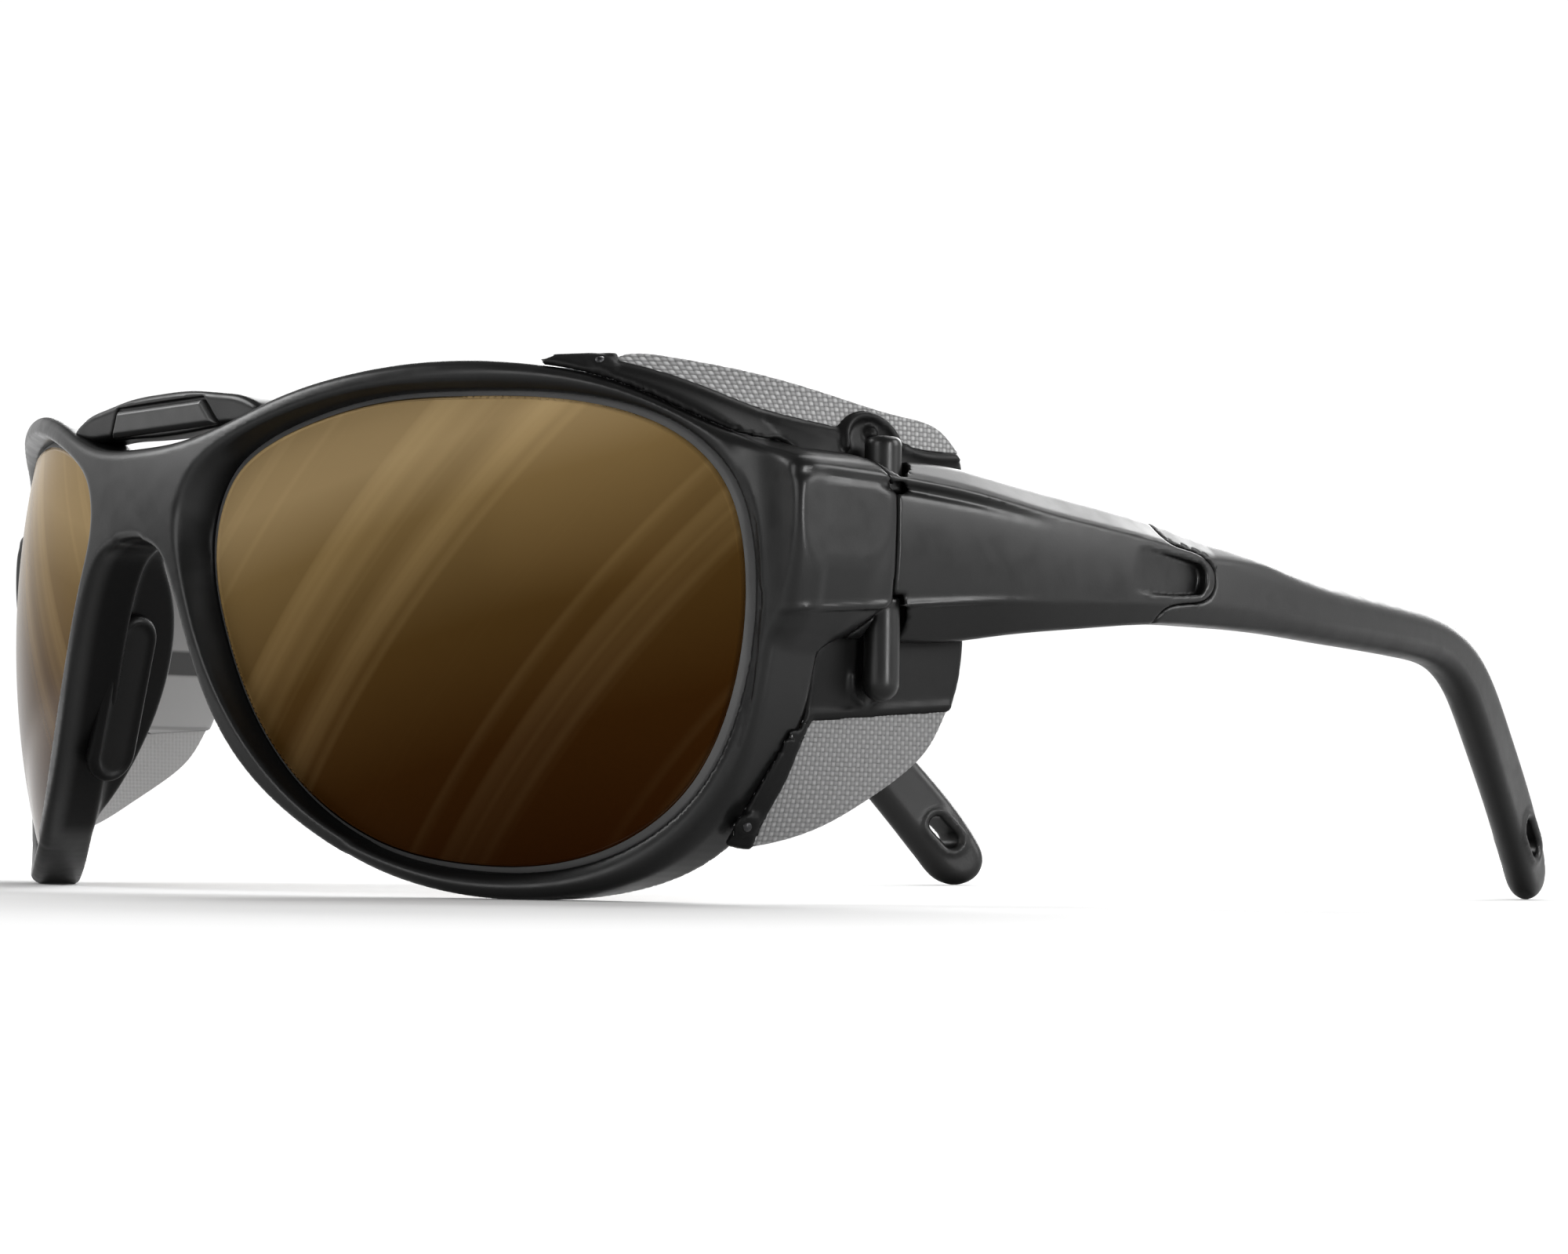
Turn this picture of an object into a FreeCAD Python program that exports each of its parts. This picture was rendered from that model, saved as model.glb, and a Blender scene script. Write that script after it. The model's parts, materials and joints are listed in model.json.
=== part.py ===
"""Glacier glasses: a wrap-around front with two lenses, folding temples and flexible side shields.

Millimetres. X runs across the face (+X is the wearer's left), +Y runs back along the temples, +Z is up.
The outlines are drawn with y = 0 near the middle of the bridge and z = 0 at the lowest point of the rims.
Each finished piece is then moved along Y by its Placement, which puts the origin under the middle of the
glasses.
"""

import FreeCAD, Part
import math
import os
from FreeCAD import Placement, Rotation, Vector

doc = FreeCAD.newDocument("glacier_glasses")

# ---------------------------------------------------------------- driving dimensions

DIMENSIONS = [
    ("middle_back", 78.87, "distance from the bridge datum back to the middle of the glasses"),
    ("lens_width", 55.0, "lens opening seen from the front"),
    ("lens_height", 45.3, "lens opening seen from the front"),
    ("lens_middle_x", 38.1, "centre of a lens opening from the middle plane"),
    ("lens_middle_z", 25.25, "centre of a lens opening above the table"),
    ("lens_level", 28.5, "height of the centre of the spherical front"),
    ("lens_radius", 100.9, "front surface of both lenses"),
    ("lens_thick", 2.0, "lens thickness"),
    ("lens_centre", 100.5, "distance back to the centre of the lens sphere"),
    ("lens_lip", 0.8, "how far the lens reaches into the rim's groove"),
    ("front_radius", 95.0, "front surface of the rims"),
    ("front_centre", 91.6, "distance back to the centre of the rims' front sphere"),
    ("back_radius", 97.6, "back surface of the rims"),
    ("flank_slant", 0.22, "how much a nose flank opens per millimetre backwards"),
    ("flank_start", -5.0, "front of the nose flank blank"),
    ("flank_deep", 21.0, "length of the nose flank blank"),
    ("pad_long", 18.0, "nose pad length"),
    ("pad_wide", 6.0, "nose pad width"),
    ("pad_thick", 1.6, "nose pad thickness"),
    ("bar_front", 0.9, "front of the brow bar"),
    ("bar_back", 5.0, "back of the brow bar"),
    ("plate_front", 0.5, "front of the blank brow plate"),
    ("plate_back", 1.5, "back of the blank brow plate"),
    ("side_face", 71.2, "outer face of the end pieces and temples at the hinge"),
    ("end_low", 25.8, "underside of an end piece"),
    ("end_high", 41.0, "top of an end piece"),
    ("hinge_x", 68.2, "hinge axis from the middle plane"),
    ("hinge_y", 37.2, "hinge axis behind the bridge datum"),
    ("hinge_gap", 0.25, "clearance round the hinge barrels"),
    ("barrel_radius", 1.5, "barrel on the temple"),
    ("barrel_low", 28.9, "bottom of the temple's barrel"),
    ("barrel_high", 38.1, "top of the temple's barrel"),
    ("ear_radius", 1.75, "barrels on the front, above and below the temple's"),
    ("ear_room", 2.1, "space cut in the temple round an ear"),
    ("ear_low", 20.9, "bottom of the lower ear, without its round end"),
    ("ear_high", 43.6, "top of the upper ear"),
    ("part_line", 36.6, "where the end piece stops"),
    ("screw_radius", 0.7, "hinge screw shank"),
    ("screw_run", 0.05, "running clearance of the temple's barrel on the screw"),
    ("screw_low", 21.0, "end of the hinge screw"),
    ("head_radius", 1.2, "hinge screw head"),
    ("head_thick", 0.9, "hinge screw head"),
    ("temple_inner", 66.7, "inner face of a temple at the hinge"),
    ("tip_outer", 71.1, "outer face of a temple tip, carried forward to the hinge"),
    ("tip_inner", 66.3, "inner face of a temple tip, carried forward to the hinge"),
    ("core_thick", 1.4, "bendable wire core of a temple"),
    ("slot_long", 5.0, "cord slot"),
    ("slot_wide", 2.2, "cord slot"),
    ("shield_thick", 1.0, "side shield"),
    ("peg_radius", 0.7, "peg that holds a side shield to the rim"),
    ("peg_long", 3.0, "peg that holds a side shield to the rim"),
]

sheet = doc.addObject("Spreadsheet::Sheet", "Dimensions")
for row, (alias, value, note) in enumerate(DIMENSIONS, start=1):
    sheet.set(f"A{row}", alias)
    sheet.set(f"B{row}", str(value))
    sheet.setAlias(f"B{row}", alias)
    sheet.set(f"C{row}", note)
doc.recompute()


def size(alias):
    """The number in the sheet's cell of that name."""
    return float(sheet.get(alias))


def with_sheet(formula):
    """A formula in plain aliases as an expression that reads the sheet."""
    for alias in sorted((d[0] for d in DIMENSIONS), key=len, reverse=True):
        formula = formula.replace("$" + alias, "Dimensions." + alias)
    return formula


def bind(thing, **formulas):
    """Binds properties to formulas; a double underscore in a name stands for a dot."""
    for prop, formula in formulas.items():
        thing.setExpression(prop.replace("__", "."), with_sheet(formula))
    return thing


# ---------------------------------------------------------------- building blocks

ORIGIN_PLANE = {"front": "XZ_Plane", "side": "YZ_Plane", "plan": "XY_Plane"}


def smooth_loop(points):
    """A closed curve through the points."""
    curve = Part.BSplineCurve()
    curve.interpolate(Points=[Vector(a, b, 0) for a, b in points], PeriodicFlag=True)
    return [curve]


def straight_loop(points):
    """A closed polygon."""
    corners = [Vector(a, b, 0) for a, b in points]
    return [Part.LineSegment(a, b) for a, b in zip(corners, corners[1:] + corners[:1])]


def mixed_loop(*runs):
    """A closed outline of smooth runs, each a list of points that starts where the one before ends."""
    edges = []
    for run in runs:
        corners = [Vector(a, b, 0) for a, b in run]
        if len(corners) == 2:
            edges.append(Part.LineSegment(*corners))
            continue
        curve = Part.BSplineCurve()
        curve.interpolate(Points=corners)
        edges.append(curve)
    return edges


def prism(name, plane, outline, start, end):
    """A body whose outline, drawn on an origin plane, is padded from start to end along the third axis."""
    body = doc.addObject("PartDesign::Body", name)
    sketch = body.newObject("Sketcher::SketchObject", name + "_outline")
    support = next(f for f in body.Origin.OriginFeatures if f.Role == ORIGIN_PLANE[plane])
    sketch.AttachmentSupport = [(support, "")]
    sketch.MapMode = "FlatFace"
    # the front plane's normal points to -Y, the other two point to +X and +Z
    offset = f"-({end})" if plane == "front" else start
    bind(sketch, AttachmentOffset__Base__z=offset)
    sketch.addGeometry(outline, False)
    pad = body.newObject("PartDesign::Pad", name + "_pad")
    pad.Profile = sketch
    bind(pad, Length=f"({end}) - ({start})")
    return body


def ball(name, radius, x, y, z):
    thing = doc.addObject("Part::Sphere", name)
    return bind(
        thing, Radius=radius, Placement__Base__x=x, Placement__Base__y=y, Placement__Base__z=z
    )


def upright(name, radius, low, high, x="$hinge_x", y="$hinge_y"):
    """A vertical cylinder, on the hinge axis unless told otherwise."""
    thing = doc.addObject("Part::Cylinder", name)
    return bind(
        thing,
        Radius=radius,
        Height=f"({high}) - ({low})",
        Placement__Base__x=x,
        Placement__Base__y=y,
        Placement__Base__z=low,
    )


def joined(name, *things):
    thing = doc.addObject("Part::MultiFuse", name)
    thing.Shapes = list(things)
    return thing


def shared(name, *things):
    thing = doc.addObject("Part::MultiCommon", name)
    thing.Shapes = list(things)
    return thing


def cut(name, base, *tools):
    """base without the tools."""
    thing = doc.addObject("Part::Cut", name)
    thing.Base = base
    thing.Tool = tools[0] if len(tools) == 1 else joined(name + "_tools", *tools)
    return thing


def mirrored(name, source):
    thing = doc.addObject("Part::Mirroring", name)
    thing.Source = source
    thing.Normal = (1, 0, 0)
    return thing


nodes = []


def finish(thing, name):
    """Names a finished piece after its node and puts it in its place in the glasses' own frame."""
    doc.recompute()
    node = doc.addObject("Part::Refine", "piece_" + name)
    node.Source = thing
    node.Label = name
    bind(node, Placement__Base__y="-$middle_back")
    nodes.append(node)
    return node


def finish_pair(thing, name):
    """The left piece and its mirror image on the right."""
    finish(thing, name + "_left")
    finish(mirrored(name + "_mirror", thing), name + "_right")


# ---------------------------------------------------------------- lenses

# lens opening from the front, as shares of half its width and half its height from its centre
LENS_OUTLINE = [
    (0.00, 1.00), (-0.40, 0.97), (-0.74, 0.87), (-0.95, 0.66), (-1.00, 0.41), (-0.93, 0.03),
    (-0.80, -0.32), (-0.54, -0.71), (-0.24, -0.92), (0.18, -1.00), (0.57, -0.90), (0.82, -0.64),
    (0.95, -0.28), (1.00, 0.16), (0.93, 0.61), (0.77, 0.82), (0.34, 0.98),
]
FRONT_REACH = ("-10", "45")
SIDE_REACH = ("30", "90")


def lens_outline(margin=0.0):
    half_x = size("lens_width") / 2 + margin
    half_z = size("lens_height") / 2 + margin
    middle = (size("lens_middle_x"), size("lens_middle_z"))
    return smooth_loop([(middle[0] + a * half_x, middle[1] + b * half_z) for a, b in LENS_OUTLINE])


window = prism("lens_window", "front", lens_outline(), *FRONT_REACH)
lens_blank = prism("lens_blank", "front", lens_outline(size("lens_lip")), *FRONT_REACH)
lens_front = ball("lens_front", "$lens_radius", "0", "$lens_centre", "$lens_level")
lens_back = ball("lens_back", "$lens_radius - $lens_thick", "0", "$lens_centre", "$lens_level")
lens = cut("lens", shared("lens_disc", lens_blank, lens_front), lens_back)

# ---------------------------------------------------------------- front frame

# right half of the front's outline, from the top of the bridge round the rim to the nose arch
FRONT_HALF = [
    (0.0, 44.4), (7.5, 44.8), (13.0, 46.0), (20.2, 48.3), (28.4, 50.1), (36.5, 50.9), (45.0, 50.5),
    (53.0, 48.5), (60.2, 44.8), (65.7, 40.0), (68.2, 33.5), (68.6, 27.0), (67.6, 19.5), (65.4, 12.8),
    (61.9, 7.0), (56.3, 2.8), (50.0, 0.6), (43.8, 0.0), (37.3, 0.7), (30.3, 3.0), (23.3, 7.4),
    (17.3, 13.0), (12.9, 19.7), (10.0, 26.0), (7.9, 30.7), (5.4, 33.9), (2.2, 35.0),
]


def both_sides(half):
    """Closes a half outline that starts on the middle plane with its mirror image."""
    return half + [(-x, z) for x, z in reversed(half[1:])]


front_blank = prism("front_blank", "front", smooth_loop(both_sides(FRONT_HALF)), *FRONT_REACH)
front_sphere = ball("front_sphere", "$front_radius", "0", "$front_centre", "$lens_level")
back_sphere = ball("back_sphere", "$back_radius", "0", "$lens_centre", "$lens_level")
window_right = mirrored("lens_window_right", window)
rims = cut("rims", shared("rims_dome", front_blank, front_sphere), back_sphere, window, window_right)

# a nose flank: a thin wall that follows the nose side of the rim and opens backwards
FLANK_NOSE_SIDE = [(2.6, 35.2), (5.6, 33.8), (7.9, 30.7), (10.0, 26.2), (12.4, 19.6), (16.0, 13.2), (21.5, 7.8)]
FLANK_LENS_SIDE = [(22.7, 9.4), (17.6, 14.5), (14.1, 20.6), (11.8, 26.9), (9.8, 31.7), (7.2, 35.5), (3.2, 37.2)]
flank_sketch = doc.addObject("Sketcher::SketchObject", "flank_outline")
flank_sketch.Placement = Placement(Vector(0, 0, 0), Rotation(Vector(1, 0, 0), 90))
bind(flank_sketch, Placement__Base__y="$flank_start")
flank_sketch.addGeometry(
    mixed_loop(
        FLANK_NOSE_SIDE,
        [FLANK_NOSE_SIDE[-1], FLANK_LENS_SIDE[0]],
        FLANK_LENS_SIDE,
        [FLANK_LENS_SIDE[-1], FLANK_NOSE_SIDE[0]],
    ),
    False,
)
flank_blank = doc.addObject("Part::Extrusion", "flank_blank")
flank_blank.Base = flank_sketch
flank_blank.DirMode = "Custom"
flank_blank.Solid = True
bind(flank_blank, Dir__x="$flank_slant", Dir__y="1", Dir__z="0", LengthFwd="$flank_deep")
FLANK_SIDE = mixed_loop(
    [(-8.0, 3.0), (-8.0, 45.0)],
    [(-8.0, 45.0), (4.0, 45.0)],
    [(4.0, 45.0), (4.6, 36.5), (8.6, 32.0), (11.2, 27.0), (11.4, 20.0), (9.8, 12.0), (6.5, 3.0)],
    [(6.5, 3.0), (-8.0, 3.0)],
)
flank_side = prism("flank_side", "side", FLANK_SIDE, "0", "40")
window_front = prism("window_front", "front", lens_outline(), "-10", "3")
flank = cut("flank", shared("flank_wall", flank_blank, flank_side, front_sphere), window_front)

# an end piece: a short box behind the rim that carries the hinge
# its inner rear corner is cut off so that the arm can fold
end_block = prism(
    "end_block",
    "plan",
    mixed_loop(
        [(67.0, 29.0), (67.4, 25.6)],
        [(67.4, 25.6), (69.4, 25.3), (70.8, 26.4), (71.2, 28.6)],
        [(71.2, 28.6), (71.2, size("part_line"))],
        [(71.2, size("part_line")), (68.2, size("part_line"))],
        [(68.2, size("part_line")), (67.0, 34.6)],
        [(67.0, 34.6), (67.0, 29.0)],
    ),
    "$end_low",
    "$end_high",
)
barrel_room = upright(
    "barrel_room",
    "$barrel_radius + $hinge_gap",
    "$barrel_low - $hinge_gap",
    "$barrel_high + $hinge_gap",
)
ear_top = upright("ear_top", "$ear_radius", "$barrel_high + $hinge_gap", "$ear_high")
ear_bottom = upright("ear_bottom", "$ear_radius", "$ear_low", "$barrel_low - $hinge_gap")
ear_end = ball("ear_end", "$ear_radius", "$hinge_x", "$hinge_y", "$ear_low")

# the hinge screw: a shank through both ears and the temple's barrel, with its head sunk in the top ear
shank = upright("screw_shank", "$screw_radius", "$screw_low", "$ear_high - $head_thick")
head = upright("screw_head", "$head_radius", "$ear_high - $head_thick", "$ear_high")
screw = joined("hinge_screw", shank, head)

# nose pads lie on the flanks' nose side, half sunk in them
PAD_MIDDLE = Vector(13.4, 5.2, 19.6)
PAD_ALONG = Vector(0.31, 0.0, -0.95)
PAD_ACROSS = Vector(0.215, 0.977, 0.0)


def on_flank(thing):
    """Turns a piece drawn flat: its X runs down the flank, its Y backwards and its Z out of the flank."""
    along = Vector(PAD_ALONG).normalize()
    out = Vector(PAD_ACROSS).cross(along).normalize()
    across = out.cross(along)
    matrix = FreeCAD.Matrix(
        along.x, across.x, out.x, PAD_MIDDLE.x,
        along.y, across.y, out.y, PAD_MIDDLE.y,
        along.z, across.z, out.z, PAD_MIDDLE.z,
        0, 0, 0, 1,
    )
    thing.Placement = Placement(matrix)
    return thing


def capsule_loop(length, width):
    """A slot outline: two straight sides and two half circles."""
    reach, r = (length - width) / 2, width / 2
    return [
        Part.LineSegment(Vector(-reach, -r, 0), Vector(reach, -r, 0)),
        Part.Arc(Vector(reach, -r, 0), Vector(reach + r, 0, 0), Vector(reach, r, 0)),
        Part.LineSegment(Vector(reach, r, 0), Vector(-reach, r, 0)),
        Part.Arc(Vector(-reach, r, 0), Vector(-reach - r, 0, 0), Vector(-reach, -r, 0)),
    ]


pad = prism("nose_pad", "plan", capsule_loop(size("pad_long"), size("pad_wide")), "0", "$pad_thick")
on_flank(pad)

front_half_parts = [flank, end_block, ear_top, ear_bottom, ear_end]
front_solid = joined(
    "front_solid",
    rims,
    *front_half_parts,
    *[mirrored(thing.Name + "_right", thing) for thing in front_half_parts],
)
half_cuts = joined("front_cuts", lens, barrel_room, screw, pad)
front = cut("front", front_solid, half_cuts, mirrored("front_cuts_right", half_cuts))

# ---------------------------------------------------------------- brow bar and its blank plate

BAR_HALF = [(0.0, 49.7), (7.5, 49.6), (13.0, 49.0), (19.5, 48.2), (18.5, 46.5), (13.0, 46.3), (8.0, 46.0)]
bar_blank = prism(
    "brow_bar_blank", "front", smooth_loop(both_sides(BAR_HALF)), "$bar_front", "$bar_back"
)
plate = prism(
    "plate_blank",
    "front",
    straight_loop([(-9.9, 46.3), (9.9, 46.3), (7.7, 48.4), (-7.7, 48.4)]),
    "$plate_front",
    "$plate_back",
)
bar = cut("bar_cut", bar_blank, front_blank, plate)

# ---------------------------------------------------------------- temples

# the temple's plan: its outer and inner faces run in towards the ear
SPLAY = 0.00172
SPLAY_START = 50.0
ARM_START = size("part_line") + size("hinge_gap")


def temple_face(start_x, y, taper=0.0):
    """Distance of a temple face from the middle plane at y."""
    back = max(0.0, y - SPLAY_START)
    return start_x - SPLAY * back**2 - taper * back / 100


def temple_band(name, outer, outer_taper, inner, inner_taper, low="-10", high="60"):
    """The slab between two curved upright faces, from the hinge to past the tip."""
    stations = [ARM_START, SPLAY_START, 70.0, 90.0, 110.0, 130.0, 150.0, 166.0]
    out = [(temple_face(outer, y, outer_taper), y) for y in stations]
    back = [(temple_face(inner, y, inner_taper), y) for y in reversed(stations)]
    loop = mixed_loop(out, [out[-1], back[0]], back, [back[-1], out[0]])
    return prism(name, "plan", loop, low, high)


ARM_TOP = [(73.6, 38.2), (63.3, 39.4), (52.2, 40.5), (45.3, 41.3), (ARM_START, 41.0)]
ARM_BOTTOM = [(ARM_START, 24.8), (45.0, 24.8), (52.4, 25.7), (63.4, 27.0), (72.3, 27.8)]
ARM_END = [(72.3, 27.8), (73.6, 29.8), (78.4, 30.3), (80.3, 32.5), (78.6, 34.8), (74.6, 35.7), (73.6, 38.2)]
TIP_TOP = [
    (73.6, 38.2), (81.7, 36.4), (90.0, 35.2), (103.7, 33.5), (121.5, 32.3), (131.0, 31.2), (137.5, 29.0),
    (142.5, 25.8), (147.6, 21.0), (152.5, 15.8), (156.8, 10.8), (159.9, 6.3),
]
TIP_END = [(159.9, 6.3), (160.9, 3.4), (159.9, 1.0), (157.6, 0.0), (155.2, 0.6), (152.9, 2.9)]
TIP_BOTTOM = [
    (152.9, 2.9), (148.6, 8.2), (144.0, 13.6), (139.3, 19.0), (135.2, 23.0), (130.2, 25.5), (122.0, 26.6),
    (103.8, 27.3), (88.7, 27.8), (80.0, 27.8), (72.3, 27.8),
]
arm_side = prism(
    "arm_side",
    "side",
    mixed_loop(ARM_TOP, [ARM_TOP[-1], ARM_BOTTOM[0]], ARM_BOTTOM, ARM_END),
    *SIDE_REACH,
)
tip_side = prism(
    "tip_side",
    "side",
    mixed_loop(TIP_TOP, TIP_END, TIP_BOTTOM, [TIP_BOTTOM[-1], TIP_TOP[0]]),
    *SIDE_REACH,
)
arm_band = temple_band("arm_band", size("side_face"), 0.0, size("temple_inner"), -3.0)
tip_band = temple_band("tip_band", size("tip_outer"), 0.0, size("tip_inner"), -1.2)
core_middle = (size("side_face") + size("temple_inner")) / 2
core_band = temple_band(
    "core_band",
    core_middle + size("core_thick") / 2,
    -0.6,
    core_middle - size("core_thick") / 2,
    -0.6,
)
CORE_TOP = [(66.0, 34.4), (90.0, 32.6), (121.5, 30.2), (132.0, 28.8), (139.0, 25.4), (146.5, 18.0)]
CORE_BOTTOM = [(145.0, 16.6), (138.0, 23.6), (131.0, 26.8), (121.5, 28.2), (90.0, 30.4), (66.0, 31.6)]
core_side = prism(
    "core_side",
    "side",
    mixed_loop(CORE_TOP, [CORE_TOP[-1], CORE_BOTTOM[0]], CORE_BOTTOM, [CORE_BOTTOM[-1], CORE_TOP[0]]),
    *SIDE_REACH,
)
core = shared("core_wire", core_side, core_band)

knuckle = upright("knuckle", "$barrel_radius", "$barrel_low", "$barrel_high")
knuckle_web = prism(
    "knuckle_web",
    "plan",
    straight_loop([(66.9, 37.4), (69.6, 37.4), (70.3, 41.0), (66.8, 41.0)]),
    "$barrel_low",
    "$barrel_high",
)
ear_room_top = upright("ear_room_top", "$ear_room", "$barrel_high", "$ear_high + $ear_room")
ear_room_bottom = upright("ear_room_bottom", "$ear_room", "$ear_low - $ear_room", "$barrel_low")
screw_room = upright("screw_room", "$screw_radius + $screw_run", "$screw_low", "$ear_high")
arm_blank = joined("arm_blank", shared("arm_shell", arm_side, arm_band), knuckle, knuckle_web)
arm = cut("temple_arm", arm_blank, ear_room_top, ear_room_bottom, screw_room, core)

SLOT_MIDDLE = (154.6, 7.2)
SLOT_TILT = -46.0
slot = prism("cord_slot", "side", capsule_loop(size("slot_long"), size("slot_wide")), *SIDE_REACH)
slot.Placement = Placement(
    Vector(0, SLOT_MIDDLE[0], SLOT_MIDDLE[1]), Rotation(Vector(1, 0, 0), SLOT_TILT)
)
tip = cut("temple_tip", shared("tip_blank", tip_side, tip_band), arm_side, core, slot)

# ---------------------------------------------------------------- side shields

# plan curves of a shield's outer face, from the rim back past the hinge, at a few heights
SHIELD_BACK = (66.0, 56.0)
SHIELD_LEVELS = [
    (3.5, 60.0, 23.0), (9.0, 63.6, 24.5), (15.0, 66.0, 26.0), (22.0, 67.4, 27.4), (30.0, 67.6, 28.0),
    (37.0, 67.0, 27.0), (41.0, 65.6, 25.0), (45.0, 61.3, 21.5), (48.5, 54.8, 17.5), (52.5, 43.0, 11.5),
]
FLAT_FROM = 48.0


def shield_curve(z, front_x, front_y):
    """A plan curve that leaves the rim at a slant and straightens towards the temple."""
    points = []
    for step in range(7):
        y = front_y + (FLAT_FROM - front_y) * step / 6
        share = (FLAT_FROM - y) / (FLAT_FROM - front_y)
        points.append(Vector(SHIELD_BACK[0] - (SHIELD_BACK[0] - front_x) * share**2, y, z))
    points.append(Vector(SHIELD_BACK[0], SHIELD_BACK[1], z))
    curve = Part.BSplineCurve()
    curve.interpolate(Points=points)
    return Part.Wire(curve.toShape())


skin = Part.makeLoft([shield_curve(*level) for level in SHIELD_LEVELS], False)
shield_skin = doc.addObject("Part::Feature", "shield_skin")
shield_skin.Shape = skin.Faces[0].extrude(Vector(-size("shield_thick"), 0, 0))

SHIELD_EDGE = [
    (12.9, 50.5), (14.6, 51.2), (18.4, 51.4), (21.6, 51.2), (27.1, 49.9), (33.6, 48.1), (41.8, 46.3),
    (46.8, 45.2), (48.9, 43.3), (49.8, 40.0), (50.1, 33.0), (49.9, 25.0), (49.3, 21.0), (48.0, 18.0),
    (45.5, 14.7),
    (42.1, 12.0), (37.5, 9.3), (33.3, 7.1), (29.6, 5.7), (26.4, 5.0), (24.6, 5.4),
]
SHIELD_RIM = [
    (24.6, 5.4), (25.4, 9.0), (28.0, 17.0), (28.6, 28.0), (27.6, 36.0), (24.4, 43.0), (18.4, 48.0),
    (12.9, 50.5),
]
UPPER_PANEL = [
    [(17.6, 50.4), (18.8, 51.8), (22.0, 52.4), (33.6, 49.4), (41.8, 47.5), (47.6, 46.4), (50.4, 43.3)],
    [(50.4, 43.3), (48.8, 43.1), (42.2, 43.5), (40.3, 44.5), (38.2, 46.0), (36.0, 45.7), (34.5, 44.5)],
    [(34.5, 44.5), (29.0, 45.4), (25.7, 46.4), (23.0, 47.8), (20.6, 49.1), (17.6, 50.4)],
]
LOWER_PANEL = [
    [(31.6, 17.2), (34.7, 17.5), (41.9, 18.1), (47.2, 18.5)],
    [(47.2, 18.5), (44.6, 15.4), (41.4, 13.0), (36.9, 10.4), (32.9, 8.3), (30.3, 7.4)],
    [(30.3, 7.4), (30.4, 11.0), (31.6, 17.2)],
]
shield_side = prism("shield_side", "side", mixed_loop(SHIELD_EDGE, SHIELD_RIM), *SIDE_REACH)
shield = cut("shield_whole", shared("shield_blank", shield_skin, shield_side), front_solid)
upper_cutter = prism("upper_panel_side", "side", mixed_loop(*UPPER_PANEL), *SIDE_REACH)
lower_cutter = prism("lower_panel_side", "side", mixed_loop(*LOWER_PANEL), *SIDE_REACH)
upper_panel = shared("shield_upper_panel", shield, upper_cutter)
lower_panel = shared("shield_lower_panel", shield, lower_cutter)


def peg(name, x, y, z):
    """A short peg along X through the shield into the rim."""
    thing = doc.addObject("Part::Cylinder", name)
    thing.Placement = Placement(Vector(x, y, z), Rotation(Vector(0, 1, 0), 90))
    return bind(thing, Radius="$peg_radius", Height="$peg_long")


pegs = joined("pegs", peg("peg_top", 49.8, 16.4, 50.4), peg("peg_bottom", 60.6, 25.2, 7.4))
shield_frame = cut("side_shield", shield, upper_cutter, lower_cutter, pegs)
front = cut("front_with_peg_holes", front, pegs, mirrored("pegs_right", pegs))

# ---------------------------------------------------------------- finished pieces

finish(front, "front_frame")
finish(bar, "brow_bar")
finish(plate, "brow_plate")
for thing, name in [
    (lens, "lens"),
    (pad, "nose_pad"),
    (screw, "hinge_screw"),
    (arm, "temple_arm"),
    (tip, "temple_tip"),
    (core, "temple_core"),
    (shield_frame, "side_shield"),
    (upper_panel, "shield_upper_panel"),
    (lower_panel, "shield_lower_panel"),
    (pegs, "shield_pegs"),
]:
    finish_pair(thing, name)
doc.recompute()

# ---------------------------------------------------------------- checks and files

failed = [thing.Label for thing in doc.Objects if {"Invalid", "Error"} & set(thing.State)]
if failed:
    raise RuntimeError(f"these objects failed: {failed}")
for node in nodes:
    if node.Shape.isNull() or not node.Shape.isValid() or not node.Shape.Solids:
        raise RuntimeError(f"{node.Label} has no valid solid")

os.makedirs("parts", exist_ok=True)
low = [math.inf] * 3
high = [-math.inf] * 3
for node in nodes:
    box = node.Shape.BoundBox
    low = [min(a, b) for a, b in zip(low, (box.XMin, box.YMin, box.ZMin))]
    high = [max(a, b) for a, b in zip(high, (box.XMax, box.YMax, box.ZMax))]
    print(f"{node.Label}: {len(node.Shape.Solids)} solid(s), {node.Shape.Volume:.1f} mm3")
    node.Shape.exportStep(f"parts/{node.Label}.step")
print("lowest corner", [round(v, 2) for v in low], "highest corner", [round(v, 2) for v in high])
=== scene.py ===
"""Glacier glasses: the looks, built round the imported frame.

Shapes are worked out in millimetres, in the drawing frame of the part: y = 0 near the middle of the bridge
and z = 0 at the foot of the rims. Moulded pieces are implicit solids, meshed by surface nets and pulled onto
their exact surface.
"""

import json
import math

import bpy
import numpy as np
from mathutils import Matrix, Vector


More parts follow.
